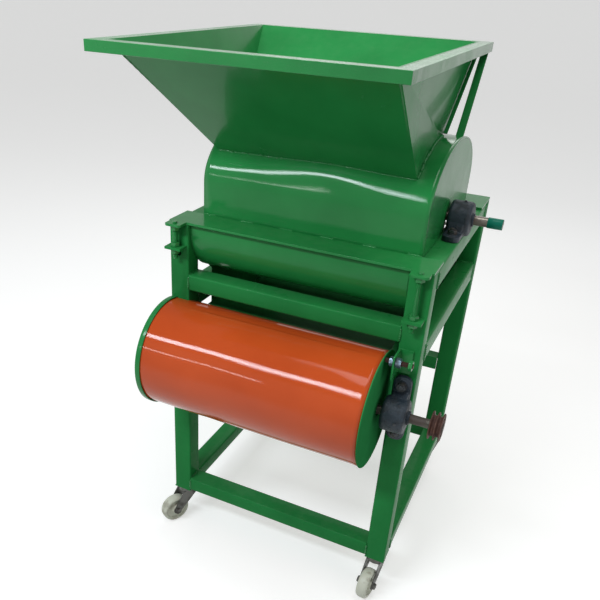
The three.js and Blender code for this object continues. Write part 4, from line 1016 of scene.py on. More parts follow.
@dataclass
class TubeFrame:
    """The welded frame of square tubes with its rails and beads."""

    half_width: float = 312.5
    tube: float = 50.0
    depth: float = 640.0
    top: float = 902.0
    bottom_rail: Pair = (114.0, 154.0)
    side_rail: Pair = (680.0, 730.0)
    front_rail: Pair = (738.0, 778.0)
    bead: float = 2.6
    inset: float = 4.0

    def beads(self) -> Surface:
        """Weld beads where rails meet legs, each a little shorter than its seam.

        Returns:
            All beads as one surface.
        """
        inner, inset = self.half_width - self.tube, self.inset
        top_rail, rear = self.top - self.tube, self.depth - self.tube
        side_seams = (self.bottom_rail, self.side_rail, (top_rail, self.top - inset))
        seams = []
        for side in (-1, 1):
            x, edge = side * inner, side * self.half_width
            for y in (0.0, rear):
                far = y + self.tube
                seams += [((x, y + inset, z), (x, far - inset, z)) for z in self.bottom_rail]
                for place in (y, far):
                    bottom, top = self.bottom_rail
                    seams.append(((x, place, bottom + inset), (x, place, top - inset)))
            for z in (self.bottom_rail[1], *reversed(self.side_rail), top_rail):
                for y in (self.tube, rear):
                    ends = side * (inner + inset), side * (self.half_width - inset)
                    seams.append(((ends[0], y, z), (ends[1], y, z)))
            for bottom, top in side_seams:
                for y in (self.tube, rear):
                    for place in (edge, x):
                        seams.append(((place, y, bottom + inset), (place, y, top - inset)))
            seams += [((x, inset, z), (x, self.tube - inset, z)) for z in self.front_rail]
            bottom, top = self.front_rail
            seams.append(((x, 0.0, bottom + inset), (x, 0.0, top - inset)))
        return join(*(weld_bead(start, end, self.bead) for start, end in seams))

    def build(self) -> None:
        """Softens the tubes and lays the beads."""
        for name in frame["nodes"]:
            if name.startswith(("leg_", "rail_")):
                # The rear legs take the darker copy of the green, which is painted shade; the other
                # tubes keep the tube green.
                finish = DULL_SHADED_GREEN if name.startswith("leg_rear") else TUBE_GREEN
                soften_node(name, finish, TUBE_EDGES)
        make_piece("frame_welds", self.beads(), WELD_GREEN, "frame", BEADS)


@dataclass
class Casters:
    """Four swivel casters with white nylon wheels."""

    wheel_radius: float = 40.0
    wheel_half: float = 14.0
    hub_half: float = 16.0
    bore: float = 5.3
    trail: float = 42.0
    leg: float = 287.5
    headings: tuple[tuple[str, float, float, float], ...] = (
        ("front_left", -1.0, 25.0, 240.0),
        ("front_right", 1.0, 25.0, 262.0),
        ("rear_left", -1.0, 615.0, 255.0),
        ("rear_right", 1.0, 615.0, 247.0),
    )

    def wheel(self, turn: float, centre: Pair) -> Surface:
        """A moulded wheel: crowned tread, shallow web on each side, proud hub.

        The profile of radius against width is closed and carried round the axle.

        Args:
            turn: Direction of the trail in radians.
            centre: The wheel's x and y.

        Returns:
            The wheel's surface.
        """
        half, hub, outer = self.wheel_half, self.hub_half, self.wheel_radius
        side = np.array([
            [self.bore, hub], [13.5, hub], [14.5, half - 5], [20.0, half - 6], [29.0, half - 5],
            [31.0, half - 0.5], [34.0, half], [37.5, half - 2.0], [39.4, half - 5.5],
        ])
        crown = np.array([[outer, 3.0], [outer, -3.0]])
        profile = np.concatenate([side, crown, (side * [1, -1])[::-1]])
        shape = turned(Axis.Y, soft_profile(profile, 1.2, 3), (outer, 0.0), 56)
        local = shape.vertices
        forward = np.array([math.cos(turn), math.sin(turn), 0.0])
        axle = np.array([-math.sin(turn), math.cos(turn), 0.0])
        placed = np.array([*centre, 0.0]) + local[:, 0:1] * forward + local[:, 1:2] * axle
        placed[:, 2] = local[:, 2]
        return Surface(placed, shape.faces)

    def build(self) -> None:
        """Builds the wheels and dresses the forks."""
        for corner, side, y, heading in self.headings:
            name, turn = "wheel_" + corner, math.radians(heading)
            x = side * self.leg
            centre = (x + self.trail * math.cos(turn), y + self.trail * math.sin(turn))
            make_piece(name, self.wheel(turn, centre), NYLON, name, ROUND, "caster_" + name)
            soften_node("caster_fork_" + corner, DARK_ZINC, FINE_EDGES)


@dataclass
class LowerCasing:
    """Side plates, curved apron, screen, chute, spout and duct under the rotor."""

    apron_front: float = 12.0
    apron_radius: float = 105.0
    apron_height: float = 880.0
    apron_sweep: float = 75.0
    apron_top: float = 899.0
    apron_back: float = 59.6
    bend: float = 4.0
    wave: float = 0.5
    sheet: float = 3.0
    half_length: float = 258.9
    inside: tuple[str, ...] = (
        "casing_side_left", "casing_side_right", "kernel_chute", "hull_spout", "fan_duct",
    )

    def apron(self) -> Surface:
        """The apron's outer line, an arc that curls back under, carried along X.

        A sine of half a millimetre along X, which dies away towards the top, bends the sheet a
        little.

        Returns:
            The open sheet before it gets its thickness.
        """
        sweep = np.radians(np.linspace(self.apron_sweep, 0, 40))
        centre = self.apron_front + self.apron_radius
        arc = np.stack([
            centre - self.apron_radius * np.cos(sweep),
            self.apron_height - self.apron_radius * np.sin(sweep),
        ], axis=1)
        turn = np.radians(np.linspace(0, 90, 6))
        corner = np.stack([
            self.apron_front + self.bend - self.bend * np.cos(turn),
            self.apron_top - self.bend + self.bend * np.sin(turn),
        ], axis=1)
        line = np.concatenate([arc, corner, [[self.apron_back, self.apron_top]]])[None]
        x = np.linspace(-self.half_length, self.half_length, 24)[:, None]
        sag = self.wave * np.sin(3.1 * x / self.half_length) * np.linspace(1, 0, line.shape[1])
        return grid_surface(along_axis(Axis.X, x, line[..., 0] + sag, line[..., 1]))

    def build(self) -> None:
        """Builds the apron and dresses the rest."""
        skin = Skin(wall=self.sheet, edge=0.5, edge_steps=1)
        make_piece("apron_sheet", self.apron(), GREEN, "frame", skin, "casing_apron")
        # These inner parts take the darker copy of the green, which is painted shade.
        for name in self.inside:
            soften_node(name, SHADED_INSIDE_GREEN, PLATE_EDGES)
        soften_node("concave_screen", STEEL, FINE_EDGES)


@dataclass
class PillowBlock:
    """A cast housing with its insert and set-screw collar, grease nipple and two bolts."""

    height: float = 36.5
    half_length: float = 82.0
    half_width: float = 20.0
    base: float = 14.0
    housing: float = 40.0
    inner: float = 22.0
    outer: float = 30.0
    neck: float = 50.0
    neck_span: Pair = (-16.0, 18.0)
    insert: float = 27.0
    collar: float = 15.5
    collar_reach: float = 35.0
    bolt: float = 61.0
    pad: float = 16.0
    washer: float = 2.2
    nipple: float = 9.0
    shaft: float = 11.4
    remesh: float = 1.4
    fillet_passes: int = 5

    def casting(self) -> Surface:
        """Base, neck and round housing as overlapping closed shapes, fused later by the remesh.

        Returns:
            The shapes in the block's own place: base at z = 0, shaft along X.
        """
        wide, reach, inner, outer = self.housing, self.neck, self.inner, self.outer
        width, length, rise = self.half_width, self.half_length, (4.0, self.base + 2)
        outline = rounded_outline((-width, width), (-length, length), 16)
        base = prism(Axis.Z, outline, (0.0, self.base))
        neck = prism(Axis.X, np.array([
            [-reach - 4, 1], [reach + 4, 1], [reach - 4, 17],
            [wide - 2, 42], [2 - wide, 42], [4 - reach, 17],
        ]), self.neck_span)
        barrel = turned(Axis.X, [
            [AXIS_RADIUS, -inner], [33.0, -inner], [38.0, 2 - inner], [wide, 7 - inner],
            [wide, outer - 8], [38.0, outer - 2], [33.0, outer], [AXIS_RADIUS, outer],
        ], (0.0, self.height), 64)
        pads = [peg((0.0, end * self.bolt), self.pad, self.pad, rise, 32) for end in (-1, 1)]
        top = self.height + wide
        boss = peg((self.nipple, 0.0), 6.5, 5.5, (top - 12, top), 20)
        return join(base, neck, barrel, *pads, boss)

    def insert_parts(self) -> Surface:
        """The bearing insert: an outer ring, a seal step and the set-screw collar, turned as one.

        Returns:
            The insert in the block's own place.
        """
        low, high, ring, tip = -self.inner - 0.6, self.outer + 2.0, self.insert, self.collar_reach
        return turned(Axis.X, [
            [self.shaft, low], [17.0, low], [17.5, low + 0.4], [ring - 1.5, low + 0.8],
            [ring, low + 2], [ring, high - 3], [ring - 1.5, high - 1.6], [self.collar, high - 1],
            [self.collar, tip - 1], [self.collar - 1, tip], [self.shaft, tip],
        ], (0.0, self.height), 56)

    def fasteners(self) -> Surface:
        """Two hex bolts with washers and a grease nipple.

        Returns:
            The fasteners in the block's own place.
        """
        parts = []
        low = self.base + 1.8
        for end in (-1, 1):
            centre = (0.0, end * self.bolt)
            parts.append(peg(centre, 12.0, 12.0, (low, low + self.washer), 32))
            parts.append(chamfered_hex(Axis.Z, centre, 10.6, (low + 2.0, low + 9.5)))
            parts.append(threaded_rod(Axis.Z, centre, 5.8, (low + 2.0, low + 13.0)))
        nipple = np.array([
            [AXIS_RADIUS, 0.0], [3.6, 0.0], [3.6, 1.6], [2.0, 2.0],
            [2.0, 2.6], [2.6, 3.0], [2.0, 3.8], [AXIS_RADIUS, 4.0],
        ]) + [0.0, self.height + self.housing - 1.0]
        return join(*parts, turned(Axis.Z, nipple, (self.nipple, 0.0), 16))

    def build(self, node: str, seat: Array, turn: Array) -> None:
        """Places one block by a seat point and a rotation.

        Args:
            node: The CAD node that it stands for.
            seat: The middle of its base in machine millimetres.
            turn: Rotation matrix from the block's own axes.
        """
        def placed(surface: Surface) -> Surface:
            """Turns and moves a surface to the seat."""
            return Surface(surface.vertices @ turn.T + seat, surface.faces)

        cast = make_piece(node + "_casting", placed(self.casting()), CASTING, "frame", Skin(), node)
        fuse = cast.modifiers.new("Fused casting", "REMESH")
        fuse.mode = "VOXEL"
        fuse.voxel_size = self.remesh * MM
        fuse.use_smooth_shade = True
        soften = cast.modifiers.new("Cast fillets", "SMOOTH")
        soften.factor = 0.5
        soften.iterations = self.fillet_passes
        make_piece(node + "_insert", placed(self.insert_parts()), CASTING, "frame", Skin())
        make_piece(node + "_bolts", placed(self.fasteners()), DARK_BOLT, "frame", HARDWARE)


@dataclass
class Bearings:
    """The four pillow blocks, two on the frame's top and two on its front legs."""

    leg: float = 287.5
    outboard: float = 5.0
    rotor_setback: float = 300.0
    frame_top: float = 902.3
    fan_height: float = 584.0
    leg_front: float = -0.3

    def build(self) -> None:
        """Places the four blocks, the left ones turned half round."""
        on_top = PillowBlock()
        on_leg = PillowBlock(inner=27.0, outer=27.0, collar_reach=33.0)
        half_turn = np.diag([-1.0, -1.0, 1.0])
        upright = np.array([[1.0, 0, 0], [0, 0, -1.0], [0, 1.0, 0]])
        for name, side, spin in (("left", -1, half_turn), ("right", 1, np.eye(3))):
            seat = np.array([side * (self.leg + self.outboard), self.rotor_setback, self.frame_top])
            on_top.build("rotor_bearing_" + name, seat, spin)
            seat = np.array([side * self.leg, self.leg_front, self.fan_height])
            on_leg.build("fan_bearing_" + name, seat, upright @ spin)


@dataclass
class Blower:
    """The orange drum with its green ends, shaft, paddles and pulley."""

    axis_y: float = -36.8
    axis_z: float = 584.0
    radius: float = 134.0
    sheet: float = 2.0
    left: float = -303.0
    right: float = 244.0
    lap_degrees: float = 93.0
    lap_step: float = 0.7
    wave: float = 0.35
    notch_x: float = -262.2
    notch_y: float = -1.0
    window_half: float = 233.0
    window: Pair = (607.0, 687.0)
    rim_width: float = 10.0
    shaft: float = 10.4
    shaft_span: Pair = (-322.0, 394.0)
    pulley_start: float = 366.0
    pulley_radius: float = 31.5
    pulley_width: float = 26.0
    groove_depth: float = 8.5
    bolt_height: float = 127.0

    @property
    def centre(self) -> Pair:
        """The drum axis in y and z."""
        return (self.axis_y, self.axis_z)

    def skin(self) -> Surface:
        """The drum's sheet: a cylinder with a lap seam, notched at the left leg and open behind.

        The radius is the drum's, plus a step of under a millimetre at the lap that dies away round
        the drum, plus slow waves along it, as rolled sheet has.

        Returns:
            The sheet's outer surface.
        """
        notch = math.acos((self.notch_y - self.axis_y) / self.radius)
        low, high = (math.asin((z - self.axis_z) / self.radius) for z in self.window)
        lap, lap_width = math.radians(self.lap_degrees), 0.012
        fade, end_run, wave_length = 0.35, 60.0, 47.0
        marks = [low, high, notch, FULL_TURN - notch, lap, lap + lap_width]
        angle = np.unique(np.round(np.concatenate([round_angles(120), marks]), 6))
        stations = np.concatenate([
            [self.left, self.left + 10, self.notch_x - 15, self.notch_x, -self.window_half],
            np.linspace(-self.window_half + 12, self.window_half - 12, 36),
            [self.window_half, self.right],
        ])
        x = stations[:, None]
        past = (angle - lap) % FULL_TURN
        step = self.lap_step * np.exp(-past / fade) * (past > lap_width * 0.9)
        inside = np.clip((self.right - np.abs(x)) / end_run, 0, 1)
        along = np.sin(x / wave_length + 0.6 * np.sin(3 * angle))
        waves = self.wave * inside * along * np.sin(2 * angle + 0.8)
        radius = self.radius - self.lap_step + waves + step[None, :] * inside
        middle_angle = angle + np.diff(np.append(angle, angle[0] + FULL_TURN)) / 2
        middle_x = (stations[:-1] + stations[1:]) / 2
        behind = self.axis_y + self.radius * np.cos(middle_angle) > self.notch_y
        in_notch = (middle_x < self.notch_x)[:, None] & behind
        in_height = (middle_angle > low) & (middle_angle < high)
        in_window = (np.abs(middle_x) < self.window_half)[:, None] & in_height
        points = around(Axis.X, x, radius, angle, self.centre)
        return grid_surface(points, False, True, ~in_notch & ~in_window)

    def end_plate(self) -> Surface:
        """The right end: a flat disc with a rolled edge that laps the drum and a raised centre.

        Returns:
            The closed turned disc.
        """
        profile = np.array([
            [14.0, 0.0], [128.0, 0.0], [131.0, -11.5], [131.6, -11.5], [131.7, -0.4],
            [134.2, -0.2], [136.0, 0.9], [136.0, 2.2], [134.6, 3.0], [124.0, 2.9],
            [121.0, 2.2], [46.0, 2.2], [43.0, 3.0], [14.0, 3.0],
        ]) + [0.0, self.right + 0.3]
        return turned(Axis.X, soft_profile(profile, 0.5, 2), self.centre, 96)

    def rim(self) -> Surface:
        """The left rim: an angle section swept round the drum between the faces of the leg's notch.

        At each radius the sweep stops where the circle meets the notch's plane.

        Returns:
            The closed partial ring.
        """
        x = self.left - 0.3
        end = x + self.rim_width + 0.3
        inner, outer = self.radius + 0.3, self.radius + 2.8
        profile = soft_profile([
            [inner, end], [inner, x], [outer - 9.0, x], [outer - 9.0, x - 2.5], [outer, x - 2.5],
            [outer, end],
        ], 0.8, 3)
        radius, along = profile[None, :, 0], profile[None, :, 1]
        limit = np.arccos((self.notch_y - self.axis_y) / radius)
        angle = limit + np.linspace(0, 1, 96)[:, None] * (FULL_TURN - 2 * limit)
        return tube(around(Axis.X, along, radius, angle, self.centre))

    def pulley(self) -> Surface:
        """A two-groove pulley: the rim's profile dips twice to the groove floors.

        Returns:
            The closed turned pulley.
        """
        width, outer, bore = self.pulley_width, self.pulley_radius, self.shaft + 0.1
        floor = outer - self.groove_depth
        points = [[bore, 0], [17, 0], [17, 5], [20, 5.5], [20.5, 0], [outer - 1, 0], [outer, 0.8]]
        for middle in (width / 2 - 6, width / 2 + 6):
            points += [[outer, middle - 4.8], [floor, middle - 2.4], [floor, middle + 2.4]]
            points += [[outer, middle + 4.8]]
        points += [[outer, width - 0.8], [outer - 1, width], [20.5, width], [20, width - 5.5]]
        points += [[17, width - 5], [17, width], [bore, width]]
        profile = soft_profile(points, 0.5, 2) + [0, self.pulley_start]
        return turned(Axis.X, profile, self.centre, 72)

    def bolt(self) -> tuple[Surface, Surface, Surface]:
        """The end plate's bolt through its bracket.

        Returns:
            The rusty thread, the plated head with its nut, and the painted end nut.
        """
        centre = (self.axis_y, self.axis_z + self.bolt_height)
        head_span, nut_span, end_span, tip = (257.5, 265.5), (271.0, 283.0), (299.0, 307.0), 309.0
        thread = threaded_rod(Axis.X, centre, 5.8, (self.right + 3.6, tip))
        head = chamfered_hex(Axis.X, centre, 10.5, head_span)
        nut = chamfered_hex(Axis.X, centre, 11.0, nut_span)
        end_nut = chamfered_hex(Axis.X, centre, 11.5, end_span)
        return thread, join(head, nut), end_nut

    def build(self) -> None:
        """Builds the drum and its parts."""
        sheet = Skin(wall=self.sheet, sharp_degrees=50)
        make_piece("drum_skin", self.skin(), ORANGE, "frame", sheet, "fan_shroud")
        # The end plate takes the lighter copy of the green, which is painted light.
        make_piece("drum_end", self.end_plate(), LIT_END_GREEN, "frame", ROUND, "fan_end_plate")
        make_piece("drum_rim", self.rim(), GREEN, "frame", ROUND, "fan_rim")
        make_piece("pulley", self.pulley(), RUST, "fan", ROUND, "fan_pulley")
        shaft = round_bar(self.centre, self.shaft, self.shaft_span)
        make_piece("blower_shaft", shaft, DARK_SHAFT, "fan", ROUND, "fan_shaft")
        rusty, plated, painted = self.bolt()
        make_piece("end_bolt", rusty, RUST, "frame", HARDWARE, "drum_bolt")
        make_piece("end_bolt_nuts", plated, BLUE_ZINC, "frame", HARDWARE)
        make_piece("end_bolt_painted_nut", painted, WELD_GREEN, "frame", HARDWARE)
        # The inlet plate takes the darker copy of the green, which is painted shade.
        soften_node("fan_inlet_plate", SHADED_INSIDE_GREEN, PLATE_EDGES)
        soften_node("fan_impeller", STEEL, FINE_EDGES)
        soften_node("drum_bracket", GREEN, PLATE_EDGES)


@dataclass
class Rotor:
    """The bar rotor with its shaft and coloured sleeve."""

    centre: Pair = (300.0, 938.8)
    left: float = -330.0
    right: float = 391.7
    shaft: float = 11.2
    sleeve_length: float = 34.0

    def sleeve(self) -> Surface:
        """The thin sleeve over the shaft's right end.

        Returns:
            The closed turned sleeve.
        """
        end = self.right + 0.3
        start = end - self.sleeve_length
        inner, outer = self.shaft + 0.1, self.shaft + 1.2
        return turned(Axis.X, [
            [inner, start], [outer - 0.4, start], [outer, start + 0.5], [outer, end - 0.5],
            [outer - 0.4, end], [inner, end],
        ], self.centre)

    def build(self) -> None:
        """Builds the shaft and the sleeve and dresses the bars."""
        shaft = round_bar(self.centre, self.shaft, (self.left, self.right))
        make_piece("threshing_shaft", shaft, STEEL, "rotor", ROUND, "rotor_shaft")
        make_piece("shaft_sleeve", self.sleeve(), TEAL, "rotor", ROUND, "rotor_shaft_sleeve")
        # The rotor bars take the darker copy of the green, which is painted shade.
        soften_node("rotor_bars", SHADED_INSIDE_GREEN, PLATE_EDGES)


@dataclass
class Lid:
    """The drum cover with its flanges, end plates, hopper, struts, hinges and welds."""

    half_length: float = 266.0
    setback: float = 300.0
    half_depth: float = 220.0
    wall_top: float = 985.0
    rise: float = 130.0
    sheet: float = 3.0
    low: float = 902.3
    flange: float = 6.0
    half_width: float = 312.5
    depth: float = 640.0
    ear: float = 30.0
    ear_half: float = 21.0
    ear_cut: float = 5.0
    leg: float = 287.5
    hopper_top: float = 1295.0
    hopper_left: float = -360.0
    hopper_right: float = 222.0
    hopper_front: float = -134.0
    hopper_rear: float = 557.0
    rim_flange: float = 30.0
    rim_lip: float = 22.0
    strut: Pair = (17.0, 4.0)
    lap: Pair = (9.0, 3.0)
    lap_foot: Pair = (306.0, 1120.4)
    throat_left: float = -251.0
    throat_front: Pair = (117.0, 1057.0)
    throat_rear: Pair = (300.0, 1115.0)
    studs: tuple[tuple[str, float, float], ...] = (("left", -1.0, 846.0), ("right", 1.0, 800.0))

    def throat_left_at(self, z: Array) -> Array:
        """The funnel's left inner face at a height: a straight slope from the rim to the throat.

        Args:
            z: Heights in machine millimetres.

        Returns:
            The x of the slanting wall, not beyond the cover's end.
        """
        slope = (self.throat_left - self.hopper_left) / (self.hopper_top - self.throat_front[1])
        wall = self.hopper_left + self.sheet + slope * (self.hopper_top - z)
        return np.clip(wall, -self.half_length, 0)

    def angle_at(self, y: float) -> float:
        """The angle round the arch, from its front, over a place in y."""
        return math.acos((self.setback - y) / self.half_depth)

    def bulge(self, x: Array, angle: Array) -> Array:
        """How far the hand-bent sheet stands off a true arch.

        Along the cover it is a bell of 9.5 mm at x = 30 less a bell of 2.5 mm at x = -240. Round
        the arch it grows smoothly from angle 0.15 to 0.62 and dies away by 1.22.

        Args:
            x: Places along the cover.
            angle: Angles round the arch from the front.

        Returns:
            The distances outwards.
        """
        along = 9.5 * np.exp(-(((x - 30) / 113) ** 2)) - 2.5 * np.exp(-(((x + 240) / 50) ** 2))
        rise = np.clip((angle - 0.15) / 0.47, 0, 1)
        fall = np.clip((angle - 0.62) / 0.6, 0, 1)
        return along * rise**2 * (3 - 2 * rise) * (1 - fall**2 * (3 - 2 * fall))

    def arch(self, x: Array, angle: Array) -> tuple[Array, Array]:
        """The bent sheet over the arch: a half ellipse moved along its normal by the bulge.

        Args:
            x: Places along the cover.
            angle: Angles round the arch from the front.

        Returns:
            The y and the z of the points.
        """
        normal_y = -self.rise * np.cos(angle)
        normal_z = self.half_depth * np.sin(angle)
        out = self.bulge(x, angle) / np.hypot(normal_y, normal_z)
        y = self.setback - self.half_depth * np.cos(angle) + out * normal_y
        return y, self.wall_top + self.rise * np.sin(angle) + out * normal_z

    def cover(self) -> Surface:
        """The cover's outer sheet: two straight walls and a half ellipse, carried along X.

        One grid line follows the hopper's slanting left wall, and the cells inside the throat are
        left out.

        Returns:
            The open sheet.
        """
        wall_cells, left_cells, throat_cells, right_cells = 6, 3, 29, 5
        front, rear = self.angle_at(self.throat_front[0]), self.angle_at(self.throat_rear[0])
        angle = np.unique(np.concatenate([np.linspace(0, np.pi, 72), [front, rear]]))
        wall = np.linspace(self.low, self.wall_top, wall_cells + 1)[:-1]
        depths = np.pad(self.setback - self.half_depth * np.cos(angle), wall_cells, mode="edge")
        heights = np.concatenate([wall, self.wall_top + self.rise * np.sin(angle), wall[::-1]])
        left = self.throat_left_at(heights)[None, :]
        right = self.hopper_right - self.sheet
        share = np.linspace(0, 1, left_cells + 1)[:-1, None]
        x = np.concatenate([
            -self.half_length + share * (left + self.half_length),
            left + np.linspace(0, 1, throat_cells + 1)[:, None] * (right - left),
            np.linspace(right, self.half_length, right_cells + 1)[1:, None] + 0 * left,
        ])
        y, z = depths + 0 * x, heights + 0 * x
        arched = slice(wall_cells, -wall_cells)
        y[:, arched], z[:, arched] = self.arch(x[:, arched], angle)
        middle = np.pad(angle, wall_cells, constant_values=(-1.0, 4.0))
        middle = (middle[:-1] + middle[1:]) / 2
        row = np.arange(len(x) - 1) - left_cells
        hole = ((row >= 0) & (row < throat_cells))[:, None] & (middle > front) & (middle < rear)
        return grid_surface(along_axis(Axis.X, x, y, z), keep=~hole)

    def rim(self) -> Surface:
        """The hopper's rim: an angle section carried round the mouth with mitred corners.

        Each corner of the mouth is a row of the grid, and each point of the section lies outside it
        by its own offset both ways.

        Returns:
            The closed ring.
        """
        gap, lip, sheet = 0.3, self.rim_lip, self.sheet
        outer = self.rim_flange + gap
        offset = np.array([gap, outer, outer, outer - sheet, outer - sheet, gap])
        drop = np.array([0.0, 0.0, lip, lip, sheet, sheet])
        left, right, front, rear = (
            self.hopper_left, self.hopper_right, self.hopper_front, self.hopper_rear,
        )
        corners = np.array([[left, front], [right, front], [right, rear], [left, rear]])
        outwards = np.array([[-1, -1], [1, -1], [1, 1], [-1, 1]])
        x = corners[:, 0:1] + outwards[:, 0:1] * offset
        y = corners[:, 1:2] + outwards[:, 1:2] * offset
        return grid_surface(np.stack([x, y, self.hopper_top - drop + 0 * x], axis=-1), True, True)

    def struts(self) -> Surface:
        """Two flat bars from the rim's rear corners down to the top of the cover.

        Returns:
            The bars as closed shapes.
        """
        out, low_x, head_drop, foot_back, foot_sink = 18.0, 252.0, 4.0, 47.0, 5.0
        foot_y, foot_z = self.setback + foot_back, self.wall_top + self.rise - foot_sink
        bars = []
        for head_x, foot_x in ((self.hopper_left - out, -low_x), (self.hopper_right + out, low_x)):
            head = (head_x, self.hopper_rear + out, self.hopper_top - head_drop)
            bars.append(flat_bar(head, (foot_x, foot_y, foot_z), *self.strut))
        return join(*bars)

    def laps(self) -> Surface:
        """The rear panel's edges, which stand out past the side panels where they are welded.

        Returns:
            Two closed strips.
        """
        out, head_in, head_drop, left_foot = 4.9, 5.5, 5.0, -262.0
        left, right = self.hopper_left - out, self.hopper_right + out
        strips = []
        for head_x, foot_x in ((left, left_foot), (right, right)):
            head = (head_x, self.hopper_rear - head_in, self.hopper_top - head_drop)
            strips.append(flat_bar(head, (foot_x, *self.lap_foot), *self.lap))
        return join(*strips)

    def flanges(self) -> Surface:
        """The front flange, with an ear at each corner, and the rear flange.

        Returns:
            Two closed plates.
        """
        span = (self.low, self.low + self.flange)
        half, cut = self.ear_half, self.ear_cut
        front_wall = self.setback - self.half_depth + 0.5
        rear_wall = self.setback + self.half_depth - 0.5
        front = [(-self.half_width, front_wall), (-self.half_width, 0.0)]
        for side in (-1, 1):
            middle = side * self.leg
            front += [(middle - half, 0.0), (middle - half, -self.ear + cut)]
            front += [(middle - half + cut, -self.ear), (middle + half - cut, -self.ear)]
            front += [(middle + half, -self.ear + cut), (middle + half, 0.0)]
        front += [(self.half_width, 0.0), (self.half_width, front_wall)]
        rear = [
            (-self.half_width, rear_wall), (self.half_width, rear_wall),
            (self.half_width, self.depth), (-self.half_width, self.depth),
        ]
        return join(*(prism(Axis.Z, np.array(outline), span) for outline in (front, rear)))

    def welds(self) -> Surface:
        """Beads round the hopper's throat, up its inner corners and along the flanges' walls.

        Returns:
            All beads as one surface.
        """
        left, right, top = self.throat_left, self.hopper_right, self.hopper_top - 6
        front_angle = self.angle_at(self.throat_front[0])
        rear_y, rear_z = self.throat_rear[0] + 2, self.throat_rear[1] + 1
        seams = [((-260.0, rear_y, rear_z), (right, rear_y, rear_z), 2.6)]
        seam_x = np.linspace(left + 2, right, 13)
        y, z = self.arch(seam_x, np.full(13, front_angle))
        seam = np.stack([seam_x, y - 1, z - 1], axis=-1)
        seams += [(seam[index], seam[index + 1], 2.2) for index in range(12)]
        side_x = np.full(9, right + 1.5)
        y, z = self.arch(side_x, np.linspace(front_angle, math.pi / 2, 9))
        seam = np.stack([side_x, y, z + 1], axis=-1)
        seams += [(seam[index], seam[index + 1], 3.2) for index in range(8)]
        seams += [
            ((self.hopper_left + 4, 552.0, top), (-270.0, 306.0, 1122.0), 1.8),
            ((right - 4, 552.0, top), (right - 4, 306.0, 1122.0), 1.8),
            ((self.hopper_left + 5, -128.0, top), (-255.0, 108.0, 1070.0), 1.8),
            ((right - 4, -128.0, top), (right - 4, 112.0, 1066.0), 1.8),
        ]
        height = self.low + self.flange + 0.5
        for x in np.arange(-250.0, 251.0, 100.0):
            for side in (-1, 1):
                wall = self.setback + side * (self.half_depth + 0.5)
                seams.append(((x - 16, wall, height), (x + 16, wall, height), 2.2))
        return join(*(weld_bead(*seam) for seam in seams))

    def stud(self, side: float, lug: float) -> Surface:
        """A threaded stud with three nuts.

        Args:
            side: -1 for the left stud and 1 for the right.
            lug: Height of the lug that it stands in.

        Returns:
            The stud's closed shapes.
        """
        centre = (side * self.leg, -self.ear / 2)
        nut, lug_sheet, gap, below, above = 10.0, 6.0, 0.3, 24.0, 4.0
        rod = threaded_rod(Axis.Z, centre, 6.0, (lug - below, self.low + self.flange + above))
        lows = (lug - gap - nut, lug + lug_sheet + gap, self.low - gap - nut)
        return join(rod, *(chamfered_hex(Axis.Z, centre, 11.0, (low, low + nut)) for low in lows))

    def build(self) -> None:
        """Builds the lid's pieces and dresses the rest."""
        sheet = Skin(wall=self.sheet, sharp_degrees=40)
        make_piece("cover_sheet", self.cover(), COVER_GREEN, "lid", sheet, "cover_shell")
        make_piece("cover_flanges", self.flanges(), GREEN, "lid", Skin(edge=1.0))
        make_piece("lid_welds", self.welds(), WELD_GREEN, "lid", BEADS)
        for side in ("left", "right"):
            soften_node("cover_end_" + side, GREEN, PLATE_EDGES)
        soften_node("hopper_funnel", GREEN, Skin(sharp_degrees=15))
        make_piece("rim_angle", self.rim(), RIM_GREEN, "lid", PLATE_EDGES, "hopper_rim")
        make_piece("rim_struts", self.struts(), TUBE_GREEN, "lid", FINE_EDGES)
        # The laps take the darker copy of the green: painted shade on the dark band at the hopper's
        # rear edges.
        make_piece("hopper_laps", self.laps(), DULL_SHADED_GREEN, "lid", FINE_EDGES)
        for side in ("left", "right"):
            soften_node("hinge_base_" + side, GREEN, FINE_EDGES)
            soften_node("hinge_leaf_" + side, GREEN, FINE_EDGES)
        for name, side, lug in self.studs:
            stud = self.stud(side, lug)
            make_piece("stud_" + name, stud, WELD_GREEN, "frame", HARDWARE, "lid_stud_" + name)


# Studio


def facing(right: Array, above: Array, back: Array, place: Array) -> Matrix:
    """The matrix of an object with these three axes at this place."""
    rows = np.stack([right, above, back, place], axis=1).tolist()
    return Matrix([*rows, [0.0, 0.0, 0.0, 1.0]])


COLD_WHITE = (0.86, 0.93, 1.0)


@dataclass(frozen=True)
class Lamp:
    """A rectangular lamp that faces a point, with its width level.

    Its place and the point are in machine millimetres, its size in metres, its power in watts.
    """

    name: str
    place: Triple
    aim: Triple
    size: Pair
    power: float
    colour: Triple = (1.0, 1.0, 1.0)

    def build(self) -> None:
        """Hangs the lamp."""
        data = bpy.data.lights.new(self.name, "AREA")
        data.shape = "RECTANGLE"
        data.size, data.size_y = self.size
        data.energy = self.power
        data.color = self.colour
        start = DATUM.place(np.array(self.place))
        away = unit(start - DATUM.place(np.array(self.aim)))
        level = unit(np.cross([0.0, 0.0, 1.0], away))
        stand(self.name, data).matrix_world = facing(level, np.cross(away, level), away, start)


